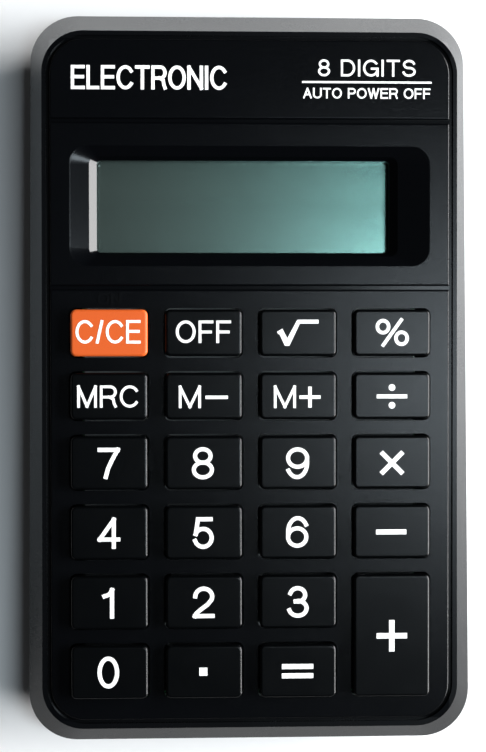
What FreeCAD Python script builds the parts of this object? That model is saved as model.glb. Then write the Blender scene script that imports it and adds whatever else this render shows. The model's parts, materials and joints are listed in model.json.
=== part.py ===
import FreeCAD, Part
import math
import os

import Sketcher

Vector = FreeCAD.Vector
Rotation = FreeCAD.Rotation
Placement = FreeCAD.Placement

# Pocket calculator with a sloping face, in millimetres.
# Case frame: +X to the right, +Y towards the display end, +Z up, origin on the desk
# under the middle of the case. Face frame: the same axes tilted with the face, with its
# origin in the middle of the face panel and its height measured from the face.

doc = FreeCAD.newDocument("Calculator")
sheet = doc.addObject("Spreadsheet::Sheet", "Sizes")
doc.UndoMode = 0


class Size:
    """A length or angle together with the sheet expression that gives it."""

    def __init__(self, value, text):
        self.value = float(value)
        self.text = text

    def join(self, other, sign, value):
        return Size(value, f"({self.text} {sign} {other.text})")

    def __add__(self, other):
        other = sized(other)
        return self.join(other, "+", self.value + other.value)

    def __sub__(self, other):
        other = sized(other)
        return self.join(other, "-", self.value - other.value)

    def __mul__(self, other):
        other = sized(other)
        return self.join(other, "*", self.value * other.value)

    def __truediv__(self, other):
        other = sized(other)
        return self.join(other, "/", self.value / other.value)

    def __radd__(self, other):
        return sized(other) + self

    def __rsub__(self, other):
        return sized(other) - self

    def __rmul__(self, other):
        return sized(other) * self

    def __neg__(self):
        return Size(-self.value, f"(0 - {self.text})")


def sized(number):
    return number if isinstance(number, Size) else Size(number, repr(float(number)))


def cell(alias, value, meaning):
    """Put one driving size in the sheet."""
    row = cell.row = getattr(cell, "row", 0) + 1
    sheet.set(f"A{row}", meaning)
    sheet.set(f"B{row}", str(value))
    sheet.setAlias(f"B{row}", alias)
    return Size(value, f"Sizes.{alias}")


# ---------------------------------------------------------------- driving sizes
case_width = cell("case_width", 69.0, "widest line of the case, across")
case_length = cell("case_length", 114.0, "widest line of the case, along")
belt_height = cell("belt_height", 8.0, "height of the seam between the two shells")
belt_radius = cell("belt_radius", 7.5, "corner radius at the seam")
face_height = cell("face_height", 14.0, "height of the face at its middle")
face_tilt = cell("face_tilt", 3.0, "slope of the face, degrees")
face_shift = cell("face_shift", -1.1, "middle of the face along the case")
side_margin = cell("side_margin", 3.65, "case beyond the raised face panel at each side")
end_margin = cell("end_margin", 4.55, "case beyond the raised face panel at each end")
face_radius = cell("face_radius", 5.2, "corner radius of the face panel")
face_edge = cell("face_edge", 0.3, "rounding of the face panel's edge")
rim_margin = cell("rim_margin", 1.1, "from the face panel to the top of the side band")
rim_drop = cell("rim_drop", 0.35, "the rim lies this far below the face")
moat_width = cell("moat_width", 0.6, "channel round the face panel, width")
moat_depth = cell("moat_depth", 0.95, "channel round the face panel, depth")
plate = cell("plate", 1.6, "thickness of the face plate")
wall = cell("wall", 1.6, "thickness of the case walls")
groove_width = cell("groove_width", 0.55, "cross groove, width")
groove_depth = cell("groove_depth", 0.4, "cross groove, depth")
header_groove = cell("header_groove", 39.95, "groove under the header, along the face")
display_groove = cell("display_groove", 14.3, "groove under the display, along the face")

foot_proud = cell("foot_proud", 0.6, "the case underside is this far above the desk")
foot_radius = cell("foot_radius", 4.0, "rubber foot radius")
foot_recess = cell("foot_recess", 0.8, "depth of the foot's seat")
foot_x = cell("foot_x", 24.0, "lower feet, from the middle")
foot_low = cell("foot_low", -46.0, "lower feet, along the case")
foot_high = cell("foot_high", 29.5, "upper feet, along the case")
base_inset = cell("base_inset", 2.7, "the underside is this far inside the seam")
base_edge = cell("base_edge", 0.9, "rounding of the underside's edge")
lip_height = cell("lip_height", 1.0, "locating lip above the seam")
lip_lean = cell("lip_lean", 1.7, "the lip leans inwards by this much")
lip_flange = cell("lip_flange", 0.95, "thickness of the lip at its top")
shell_gap = cell("shell_gap", 0.12, "clearance between the shells at the lip")

column_pitch = cell("column_pitch", 14.5, "key columns")
key_opening = cell("key_opening", 12.3, "key opening, across")
function_opening = cell("function_opening", 7.68, "key opening in the two upper rows, along")
digit_opening = cell("digit_opening", 8.7, "key opening in the lower rows, along")
row_gap = cell("row_gap", 2.04, "web between rows")
first_row = cell("first_row", 7.33, "middle of the first row, along the face")
opening_radius = cell("opening_radius", 1.1, "corner radius of a key opening")
key_gap = cell("key_gap", 0.25, "clearance round a key")
key_proud = cell("key_proud", 1.3, "key top above the face")
key_edge = cell("key_edge", 0.42, "rounding of the key's top edge")
key_skirt = cell("key_skirt", 0.85, "key below the underside of the face plate")
key_wall = cell("key_wall", 0.9, "key side wall")
key_roof = cell("key_roof", 1.1, "key top wall")
key_post = cell("key_post", 1.5, "radius of the key's pusher")
tab_reach = cell("tab_reach", 0.55, "stop tab beyond the opening")
tab_thick = cell("tab_thick", 0.7, "stop tab thickness")
tab_length = cell("tab_length", 3.0, "stop tab, along")
travel = cell("travel", 1.1, "key travel")
dome_gap = cell("dome_gap", 0.06, "pusher to dome at rest")

dome_rise = cell("dome_rise", 1.45, "dome above its sheet")
dome_foot = cell("dome_foot", 3.1, "dome radius at its foot")
dome_top = cell("dome_top", 1.9, "dome radius at its top")
dome_wall = cell("dome_wall", 0.55, "dome wall")
sheet_thick = cell("sheet_thick", 0.8, "dome sheet thickness")
sheet_margin = cell("sheet_margin", 0.9, "dome sheet beyond the outermost domes")
pill_radius = cell("pill_radius", 1.2, "carbon pill radius")
pill_thick = cell("pill_thick", 0.35, "carbon pill thickness")
board_thick = cell("board_thick", 1.2, "circuit board thickness")
board_head = cell("board_head", 14.2, "upper edge of the board, along the face")
board_margin = cell("board_margin", 0.4, "board beyond the dome sheet")
pad_radius = cell("pad_radius", 1.9, "contact pad radius")
pad_thick = cell("pad_thick", 0.05, "contact pad thickness")
post_radius = cell("post_radius", 1.2, "board post radius")
post_hole = cell("post_hole", 0.65, "board post pilot hole radius")
hole_gap = cell("hole_gap", 0.25, "clearance round posts and screws")
boss_way = cell("boss_way", 0.5, "clearance round the lower screw bosses in the sheet and the board")

recess_width = cell("recess_width", 55.6, "display recess, across")
recess_depth = cell("recess_depth", 18.5, "display recess, along")
recess_middle = cell("recess_middle", 26.85, "middle of the display recess, along the face")
recess_radius = cell("recess_radius", 2.8, "corner radius of the recess")
slope_left = cell("slope_left", 2.97, "sloping wall at the left of the recess")
slope_right = cell("slope_right", 4.9, "sloping wall at the right of the recess")
slope_side = cell("slope_side", 1.55, "sloping walls above and below")
slope_deep = cell("slope_deep", 0.85, "depth of the sloping walls")
steep_left = cell("steep_left", 1.13, "steep wall at the left of the window")
steep_right = cell("steep_right", 1.2, "steep wall at the right of the window")
steep_side = cell("steep_side", 0.6, "steep walls above and below")
steep_deep = cell("steep_deep", 1.65, "depth at the foot of the steep walls")
window_deep = cell("window_deep", 2.9, "depth of the window")
pan_wall = cell("pan_wall", 1.3, "wall of the display pan")
lens_margin = cell("lens_margin", 1.8, "lens beyond the window")
lens_thick = cell("lens_thick", 1.0, "display lens thickness")
seat_gap = cell("seat_gap", 0.15, "clearance round the display parts")
film = cell("film", 0.2, "polariser and reflector thickness")
glass = cell("glass", 0.7, "display glass thickness")
glass_ledge = cell("glass_ledge", 0.9, "lower glass beyond the upper one")
ribbon_width = cell("ribbon_width", 40.0, "display ribbon width")
ribbon_thick = cell("ribbon_thick", 0.12, "display ribbon thickness")
ribbon_land = cell("ribbon_land", 1.6, "ribbon length bonded to the board")
clip_thick = cell("clip_thick", 1.0, "display clip thickness")
clip_ear = cell("clip_ear", 2.9, "display clip's screw ear beyond the pan's seat")

screw_x = cell("screw_x", 28.1, "upper case screws, from the middle")
screw_high = cell("screw_high", 34.4, "upper case screws")
screw_radius = cell("screw_radius", 0.9, "case screw shank radius")
screw_head = cell("screw_head", 1.8, "case screw head radius")
screw_head_tall = cell("screw_head_tall", 1.2, "case screw head height")
screw_length = cell("screw_length", 6.4, "case screw shank length")
screw_sunk = cell("screw_sunk", 2.0, "head seat above the underside")
boss_radius = cell("boss_radius", 1.8, "front housing's screw boss radius")
pillar_radius = cell("pillar_radius", 2.75, "rear housing's screw pillar radius")
pillar_top = cell("pillar_top", 5.2, "height where boss and pillar meet")
thread_gap = cell("thread_gap", 0.04, "clearance in the pilot holes")
small_head = cell("small_head", 1.25, "board screw head radius")
small_head_tall = cell("small_head_tall", 0.7, "board screw head height")
small_length = cell("small_length", 2.8, "board screw shank length")
slot_width = cell("slot_width", 0.45, "cross slot width")

cell_radius = cell("cell_radius", 5.25, "battery cell radius")
cell_length = cell("cell_length", 44.5, "battery cell length with its nub")
nub_radius = cell("nub_radius", 1.9, "battery nub radius")
nub_length = cell("nub_length", 0.8, "battery nub length")
cell_middle = cell("cell_middle", 44.2, "battery cell, along the case")
cell_gap = cell("cell_gap", 0.3, "clearance round the battery cell")
bay_wall = cell("bay_wall", 1.15, "battery bay wall")
bay_top = cell("bay_top", 0.8, "battery bay roof")
bay_half = cell("bay_half", 25.0, "battery bay, from the middle to its end wall")
contact_thick = cell("contact_thick", 0.35, "battery contact thickness")
contact_width = cell("contact_width", 8.0, "battery contact width")
tail_width = cell("tail_width", 1.5, "battery contact tail width")
spring_radius = cell("spring_radius", 3.0, "battery spring radius")
spring_wire = cell("spring_wire", 0.35, "battery spring wire radius")
spring_turns = cell("spring_turns", 4.0, "battery spring turns")
lead_radius = cell("lead_radius", 0.55, "battery lead radius")
lead_bend = cell("lead_bend", 2.2, "battery lead bend radius")

cover_half = cell("cover_half", 25.0, "battery cover, from the middle to its side")
cover_front = cell("cover_front", 38.8, "inner edge of the battery cover")
cover_skin = cell("cover_skin", 0.8, "battery cover's lower layer")
cover_tongue = cell("cover_tongue", 0.8, "battery cover's upper layer")
tongue_reach = cell("tongue_reach", 1.2, "tongue beyond the cover's side")
cover_gap = cell("cover_gap", 0.12, "clearance round the battery cover")
rail_thick = cell("rail_thick", 1.0, "rail over the cover's tongue")
grip_count = cell("grip_count", 5, "grip grooves in the battery cover")
grip_pitch = cell("grip_pitch", 1.6, "grip groove pitch")
grip_depth = cell("grip_depth", 0.35, "grip groove depth")
grip_length = cell("grip_length", 14.0, "grip groove length")
grip_start = cell("grip_start", 3.0, "first grip groove from the cover's inner edge")

chip_radius = cell("chip_radius", 6.0, "chip drop radius")
chip_thick = cell("chip_thick", 1.5, "chip drop thickness")
chip_edge = cell("chip_edge", 1.1, "rounding of the chip drop")
chip_below = cell("chip_below", 10.0, "chip drop below the display groove")
can_radius = cell("can_radius", 2.0, "electrolytic capacitor radius")
can_length = cell("can_length", 7.0, "electrolytic capacitor length")
can_x = cell("can_x", -8.0, "electrolytic capacitor, across")
can_y = cell("can_y", -2.0, "electrolytic capacitor's closed end, along")
crimp_place = cell("crimp_place", 1.2, "crimp of the can from its open end")
crimp_width = cell("crimp_width", 0.5, "crimp width")
crimp_depth = cell("crimp_depth", 0.2, "crimp depth")
bead_radius = cell("bead_radius", 1.3, "ceramic capacitor radius")
bead_length = cell("bead_length", 2.2, "ceramic capacitor length")
bead_x = cell("bead_x", 19.5, "ceramic capacitor, across")
bead_y = cell("bead_y", -7.0, "ceramic capacitor's far end, along")
resistor_radius = cell("resistor_radius", 0.95, "resistor body radius")
resistor_length = cell("resistor_length", 5.0, "resistor body length")
resistor_x = cell("resistor_x", -16.0, "resistor, across")
resistor_y = cell("resistor_y", -6.0, "resistor body's upper end, along")
leg_radius = cell("leg_radius", 0.25, "wire leg radius")
leg_reach = cell("leg_reach", 1.2, "wire leg beyond the body")
joint_radius = cell("joint_radius", 0.3, "leg's soldered riser radius")
part_gap = cell("part_gap", 0.12, "round parts below the board")

plate_corner = cell("plate_corner", 0.4, "corner radius of the display plates")
film_inset = cell("film_inset", 0.5, "films inside the edge of the glass")
clip_margin = cell("clip_margin", 0.4, "clip beyond the lens, across")
clip_over = cell("clip_over", 1.0, "clip beyond the lens, along")
clip_frame = cell("clip_frame", 4.0, "clip frame width at the sides")
clip_bar = cell("clip_bar", 3.0, "clip frame width above and below")
clip_corner = cell("clip_corner", 1.0, "corner radius of the clip")
ribbon_seat = cell("ribbon_seat", 0.05, "clearance of the ribbon at the upper glass")
sheet_corner = cell("sheet_corner", 1.0, "corner radius of the sheet and the board")

cell_edge = cell("cell_edge", 0.5, "rounding of the battery cell's shoulders")
contact_corner = cell("contact_corner", 0.8, "corner radius of a contact")
tail_out = cell("tail_out", 1.0, "contact tail beyond the bay wall")
spring_clear = cell("spring_clear", 0.02, "clearance at the spring's ends")
lead_x = cell("lead_x", 20.0, "where a lead meets the board, across")
lead_below = cell("lead_below", 4.5, "where a lead meets the board, below the display groove")
lead_run = cell("lead_run", 5.0, "straight run from a contact tail")
lead_drop = cell("lead_drop", 12.0, "from a contact tail to the case floor")
lead_lift = cell("lead_lift", 0.8, "lead above the case floor")
inner_draft = cell("inner_draft", 0.4, "rear housing wall is thicker than the front one's at the seam")

sink = cell("sink", 0.2, "bosses start this far inside the wall they stand on")
over = cell("over", 0.1, "cuts go this far past the far side")
doc.recompute()

# ---------------------------------------------------------------- derived places
tilt_sin = Size(math.sin(math.radians(face_tilt.value)), "sin(Sizes.face_tilt * 1 deg)")
tilt_cos = Size(math.cos(math.radians(face_tilt.value)), "cos(Sizes.face_tilt * 1 deg)")
COLUMNS = [(i - 1.5) * column_pitch for i in range(4)]
ROWS = [first_row, first_row - (function_opening + row_gap)]
for step in range(4):
    ROWS.append(ROWS[1] - (function_opening + digit_opening) / 2 - row_gap - step * (digit_opening + row_gap))
HEIGHTS = [function_opening] * 2 + [digit_opening] * 4
plus_middle = (ROWS[4] + ROWS[5]) / 2
plus_opening = 2 * digit_opening + row_gap

# node, column, middle along the face, opening length
KEYS = []
NAMES = [["clear", "off", "root", "percent"], ["memory_recall", "memory_minus", "memory_plus", "divide"],
         ["7", "8", "9", "multiply"], ["4", "5", "6", "minus"], ["1", "2", "3"], ["0", "point", "equals"]]
for names, middle, opening in zip(NAMES, ROWS, HEIGHTS):
    for column, name in zip(COLUMNS, names):
        KEYS.append((f"key_{name}", column, middle, opening))
KEYS.append(("key_plus", COLUMNS[3], plus_middle, plus_opening))

skirt_level = -(plate + key_skirt)
dome_level = skirt_level - dome_gap
sheet_level = dome_level - dome_rise
board_level = sheet_level - sheet_thick
board_floor = board_level - board_thick
web = column_pitch / 2
half_row = (digit_opening + row_gap) / 2
POSTS = [(-2 * web, (ROWS[0] + ROWS[1]) / 2), (2 * web, (ROWS[0] + ROWS[1]) / 2),
         (-2 * web, ROWS[2] - half_row), (2 * web, ROWS[2] - half_row),
         (-2 * web, ROWS[4] - half_row), (sized(0), ROWS[4] - half_row)]
face_width = case_width - 2 * side_margin
face_length = case_length - 2 * end_margin
rim_width = face_width + 2 * rim_margin
rim_length = face_length + 2 * rim_margin
window_left = -recess_width / 2 + slope_left + steep_left
window_right = recess_width / 2 - slope_right - steep_right
window_middle = (window_left + window_right) / 2
window_width = window_right - window_left
window_depth = recess_depth - 2 * (slope_side + steep_side)
lens_width = window_width + 2 * lens_margin
lens_depth = window_depth + 2 * lens_margin
lens_level = -window_deep
polariser_level = lens_level - lens_thick
upper_level = polariser_level - film
lower_level = upper_level - glass
reflector_level = lower_level - glass
clip_level = reflector_level - film
seat_level = upper_level
clip_screw = lens_width / 2 + seat_gap + clip_ear / 2
CLIP_POSTS = [(window_middle - clip_screw, recess_middle), (window_middle + clip_screw, recess_middle)]
floor_top = foot_proud + wall
head_seat = foot_proud + screw_sunk
cell_height = foot_proud + cover_skin + cover_tongue + cell_gap + cell_radius
bay_roof = cell_height + cell_radius + cell_gap
bay_low = cell_middle - cell_radius - cell_gap
bay_high = cell_middle + cell_radius + cell_gap
screw_web = ROWS[3] - half_row
screw_low = face_shift + screw_web * tilt_cos + plate * tilt_sin
CASE_SCREWS = [(side * x, y) for side in (-1, 1) for x, y in ((2 * web, screw_low), (screw_x, screw_high))]
FEET = [(side * x, y) for side in (-1, 1) for x, y in ((foot_x, foot_low), (foot_x - 2, foot_high))]
NODES = []


# ---------------------------------------------------------------- making pieces
def bind(thing, path, size):
    """Tie a property to its sheet expression."""
    thing.setExpression(path, sized(size).text)


def set_frame(thing, prop, level):
    """Place something on the tilted face, at a level measured square to it."""
    base_y = face_shift - level * tilt_sin
    base_z = face_height + level * tilt_cos
    place = Placement(Vector(0, base_y.value, base_z.value), Rotation(Vector(1, 0, 0), face_tilt.value))
    setattr(thing, prop, place)
    bind(thing, f"{prop}.Base.y", base_y)
    bind(thing, f"{prop}.Base.z", base_z)
    bind(thing, f"{prop}.Rotation.Angle", face_tilt)


def new_body(name, on_face):
    """One sub-part; on_face says whether it is drawn in the face frame."""
    body = doc.addObject("PartDesign::Body", name)
    body.Label = name
    body.AllowCompound = True
    if on_face:
        set_frame(body, "Placement", sized(0))
    NODES.append(body)
    return body


def new_sketch(body, name, level=0, tilted=False, plane="XY_Plane"):
    """A sketch at a level above one of the body's own origin planes."""
    sketch = body.newObject("Sketcher::SketchObject", f"{body.Name}_{name}")
    support = next(f for f in body.Origin.OriginFeatures if f.Role == plane)
    sketch.AttachmentSupport = [(support, "")]
    sketch.MapMode = "FlatFace"
    level = sized(level)
    if tilted:
        set_frame(sketch, "AttachmentOffset", level)
    else:
        sketch.AttachmentOffset = Placement(Vector(0, 0, level.value), Rotation())
        bind(sketch, "AttachmentOffset.Base.z", level)
    return sketch


def hold(sketch, rules):
    """Add constraints in one go; the values of sized ones come from the sheet."""
    made = sketch.addConstraint([Sketcher.Constraint(*rule[:-1], sized(rule[-1]).value)
                                 if rule[0] in ("Radius", "DistanceX", "DistanceY")
                                 else Sketcher.Constraint(*rule) for rule in rules])
    for index, rule in zip(made, rules):
        if isinstance(rule[-1], Size):
            bind(sketch, f"Constraints[{index}]", rule[-1])


def circle(sketch, x, y, radius):
    x, y, radius = sized(x), sized(y), sized(radius)
    centre = Vector(x.value, y.value, 0)
    ring = sketch.addGeometry(Part.Circle(centre, Vector(0, 0, 1), radius.value), False)
    hold(sketch, [("Radius", ring, radius), ("DistanceX", -1, 1, ring, 3, x),
                  ("DistanceY", -1, 1, ring, 3, y)])


def polygon(sketch, points):
    """A closed outline of straight lines through the given points."""
    points = [(sized(x), sized(y)) for x, y in points]
    corners = [Vector(x.value, y.value, 0) for x, y in points]
    lines = sketch.addGeometry([Part.LineSegment(a, b) for a, b in zip(corners, corners[1:] + corners[:1])],
                               False)
    rules = [("Coincident", line, 2, after, 1) for line, after in zip(lines, lines[1:] + lines[:1])]
    for line, (x, y) in zip(lines, points):
        rules += [("DistanceX", -1, 1, line, 1, x), ("DistanceY", -1, 1, line, 1, y)]
    hold(sketch, rules)


def rectangle(sketch, left, right, low, high):
    polygon(sketch, [(left, low), (right, low), (right, high), (left, high)])


def rounded(sketch, x, y, width, depth, radius):
    """A rectangle with round corners about the middle x, y."""
    x, y, width, depth, radius = (sized(n) for n in (x, y, width, depth, radius))
    left, low, r = x.value - width.value / 2, y.value - depth.value / 2, radius.value
    right, high = left + width.value, low + depth.value
    ends = [((left + r, low), (right - r, low)), ((right, low + r), (right, high - r)),
            ((right - r, high), (left + r, high)), ((left, high - r), (left, low + r))]
    middles = [(right - r, low + r), (right - r, high - r), (left + r, high - r), (left + r, low + r)]
    shapes = []
    for quarter, ((a, b), middle) in enumerate(zip(ends, middles)):
        start = math.radians(90 * quarter - 90)
        corner = Part.Circle(Vector(*middle), Vector(0, 0, 1), r)
        shapes += [Part.LineSegment(Vector(*a), Vector(*b)),
                   Part.ArcOfCircle(corner, start, start + math.pi / 2)]
    made = sketch.addGeometry(shapes, False)
    lines, arcs = made[0::2], made[1::2]
    rules = []
    for i in range(4):
        rules += [("Tangent", lines[i], 2, arcs[i], 1), ("Tangent", arcs[i], 2, lines[(i + 1) % 4], 1),
                  ("Vertical" if i % 2 else "Horizontal", lines[i])]
        if i:
            rules.append(("Equal", arcs[0], arcs[i]))
    rules += [("Radius", arcs[0], radius),
              ("DistanceX", -1, 1, lines[3], 1, x - width / 2),
              ("DistanceX", -1, 1, lines[1], 1, x + width / 2),
              ("DistanceY", -1, 1, lines[0], 1, y - depth / 2),
              ("DistanceY", -1, 1, lines[2], 1, y + depth / 2)]
    hold(sketch, rules)


def pad(body, sketch, length, down=False, taper=None):
    feature = body.newObject("PartDesign::Pad", f"{sketch.Name}_pad")
    feature.Profile = sketch
    feature.Length = sized(length).value
    bind(feature, "Length", length)
    feature.Reversed = down
    if taper is not None:
        feature.TaperAngle = taper
    return feature


def pocket(body, sketch, depth, up=False, taper=None):
    """Cut down from a sketch, or up where up is true."""
    feature = body.newObject("PartDesign::Pocket", f"{sketch.Name}_cut")
    feature.Profile = sketch
    feature.Length = sized(depth).value
    bind(feature, "Length", depth)
    feature.Reversed = up
    if taper is not None:
        feature.TaperAngle = taper
    return feature


def loft(body, kind, first, second):
    feature = body.newObject(f"PartDesign::{kind}Loft", f"{first.Name}_loft")
    feature.Profile = first
    feature.Sections = [second]
    feature.Ruled = True
    return feature


def fillet(body, radius, choose):
    """Round the edges of the body so far for which choose is true."""
    doc.recompute()
    base = body.Tip
    names = [f"Edge{i + 1}" for i, edge in enumerate(base.Shape.Edges) if choose(edge)]
    feature = body.newObject("PartDesign::Fillet", f"{body.Name}_round")
    feature.Base = (base, names)
    feature.Radius = sized(radius).value
    bind(feature, "Radius", radius)
    return feature


def at_level(edge, level):
    """Whether an edge lies flat at a level."""
    box = edge.BoundBox
    return abs(box.ZMin - level) < 0.01 and abs(box.ZMax - level) < 0.01


# ---------------------------------------------------------------- front housing
def front_housing():
    body = new_body("front_housing", False)
    belt = new_sketch(body, "belt", belt_height)
    rounded(belt, 0, 0, case_width, case_length, belt_radius)
    rim = new_sketch(body, "rim", 0, tilted=True)
    rounded(rim, 0, 0, rim_width, rim_length, face_radius + rim_margin)
    loft(body, "Additive", belt, rim)

    step = new_sketch(body, "step", 0, tilted=True)
    rounded(step, 0, 0, face_width, face_length, face_radius)
    rounded(step, 0, 0, case_width, case_length, belt_radius)
    pocket(body, step, rim_drop)
    moat = new_sketch(body, "moat", 0, tilted=True)
    rounded(moat, 0, 0, face_width, face_length, face_radius)
    rounded(moat, 0, 0, face_width + 2 * moat_width, face_length + 2 * moat_width, face_radius + moat_width)
    pocket(body, moat, moat_depth)

    inner_belt = new_sketch(body, "inner_belt", belt_height)
    rounded(inner_belt, 0, 0, case_width - 2 * wall, case_length - 2 * wall, belt_radius - wall)
    inner_rim = new_sketch(body, "inner_rim", -plate, tilted=True)
    rounded(inner_rim, 0, 0, rim_width - 2 * wall, rim_length - 2 * wall, face_radius + rim_margin - wall)
    loft(body, "Subtractive", inner_belt, inner_rim)

    pan = new_sketch(body, "pan", -plate, tilted=True)
    rounded(pan, 0, recess_middle, recess_width + 2 * pan_wall, recess_depth + 2 * pan_wall,
            recess_radius + pan_wall)
    pad(body, pan, seat_level * -1 - plate, down=True)
    edge = new_sketch(body, "recess", 0, tilted=True)
    rounded(edge, 0, recess_middle, recess_width, recess_depth, recess_radius)
    slope = new_sketch(body, "slope", -slope_deep, tilted=True)
    rounded(slope, (slope_left - slope_right) / 2, recess_middle, recess_width - slope_left - slope_right,
            recess_depth - 2 * slope_side, recess_radius - slope_side)
    loft(body, "Subtractive", edge, slope)
    steep = new_sketch(body, "steep", -slope_deep, tilted=True)
    rounded(steep, (slope_left - slope_right) / 2, recess_middle, recess_width - slope_left - slope_right,
            recess_depth - 2 * slope_side, recess_radius - slope_side)
    steep_foot = new_sketch(body, "steep_foot", -steep_deep, tilted=True)
    rounded(steep_foot, window_middle, recess_middle, window_width, window_depth,
            recess_radius - slope_side - steep_side)
    loft(body, "Subtractive", steep, steep_foot)
    window = new_sketch(body, "window", -steep_deep, tilted=True)
    rounded(window, window_middle, recess_middle, window_width, window_depth,
            recess_radius - slope_side - steep_side)
    pocket(body, window, window_deep - steep_deep)
    seat = new_sketch(body, "lens_seat", seat_level, tilted=True)
    rectangle(seat, window_middle - lens_width / 2 - seat_gap, window_middle + lens_width / 2 + seat_gap,
              recess_middle - lens_depth / 2 - seat_gap, recess_middle + lens_depth / 2 + seat_gap)
    pocket(body, seat, -seat_level - window_deep, up=True)

    grooves = new_sketch(body, "grooves", 0, tilted=True)
    for middle in (header_groove, display_groove):
        rectangle(grooves, -face_width / 2 - moat_width / 2, face_width / 2 + moat_width / 2,
                  middle - groove_width / 2, middle + groove_width / 2)
    pocket(body, grooves, groove_depth)
    for first in range(0, len(KEYS), 4):
        holes = new_sketch(body, f"key_openings_{first}", 0, tilted=True)
        for _, column, middle, opening in KEYS[first:first + 4]:
            rounded(holes, column, middle, key_opening, opening, opening_radius)
        pocket(body, holes, plate + over)

    posts = new_sketch(body, "posts", board_level, tilted=True)
    for x, y in POSTS:
        circle(posts, x, y, post_radius)
    pad(body, posts, -board_level - plate / 2)
    clip_posts = new_sketch(body, "clip_posts", clip_level, tilted=True)
    for x, y in CLIP_POSTS:
        circle(clip_posts, x, y, post_radius)
    pad(body, clip_posts, seat_level - clip_level + sink)
    for name, x, y in (("low_bosses", 2 * web, screw_low), ("high_bosses", screw_x, screw_high)):
        bosses = new_sketch(body, name, pillar_top)
        for side in (-1, 1):
            circle(bosses, side * x, y, boss_radius)
        plate_middle = face_height - plate / 2 + (y - face_shift) * tilt_sin / tilt_cos
        pad(body, bosses, plate_middle - pillar_top)
    pilots = new_sketch(body, "pilots", pillar_top)
    for x, y in CASE_SCREWS:
        circle(pilots, x, y, screw_radius + thread_gap)
    pocket(body, pilots, head_seat + screw_length - pillar_top + 2 * over, up=True)
    post_holes = new_sketch(body, "post_holes", board_level, tilted=True)
    for x, y in POSTS:
        circle(post_holes, x, y, post_hole + thread_gap)
    pocket(body, post_holes, small_length - board_thick + 2 * over, up=True)
    clip_holes = new_sketch(body, "clip_holes", clip_level, tilted=True)
    for x, y in CLIP_POSTS:
        circle(clip_holes, x, y, post_hole + thread_gap)
    pocket(body, clip_holes, small_length - clip_thick + 2 * over, up=True)

    def on_panel_rim(edge):
        points = [on_face(vertex.Point) for vertex in edge.Vertexes]
        return all(abs(p.z) < 0.01 and abs(p.x) <= face_width.value / 2 + 0.01 for p in points) and any(
            abs(p.x) > face_width.value / 2 - face_radius.value - 0.1 and
            (abs(abs(p.x) - face_width.value / 2) < 0.01 or abs(abs(p.y) - face_length.value / 2) < 0.01)
            for p in points)

    fillet(body, face_edge, on_panel_rim)


def on_face(point):
    """A point of the case frame, given in the face frame."""
    place = Placement(Vector(0, face_shift.value, face_height.value),
                      Rotation(Vector(1, 0, 0), face_tilt.value))
    return place.inverse().multVec(point)


# ---------------------------------------------------------------- rear housing and cover
def tub_shape(body):
    """The outer shape that the rear housing and the battery cover share."""
    outlines = [(foot_proud, base_inset + base_edge), (foot_proud + base_edge, base_inset), (belt_height, 0)]
    for part in range(2):
        pair = []
        for level, inset in outlines[part:part + 2]:
            outline = new_sketch(body, f"outline_{part}_{len(pair)}", level)
            rounded(outline, 0, 0, case_width - 2 * inset, case_length - 2 * inset, belt_radius - inset / 2)
            pair.append(outline)
        loft(body, "Additive", *pair)


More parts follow.
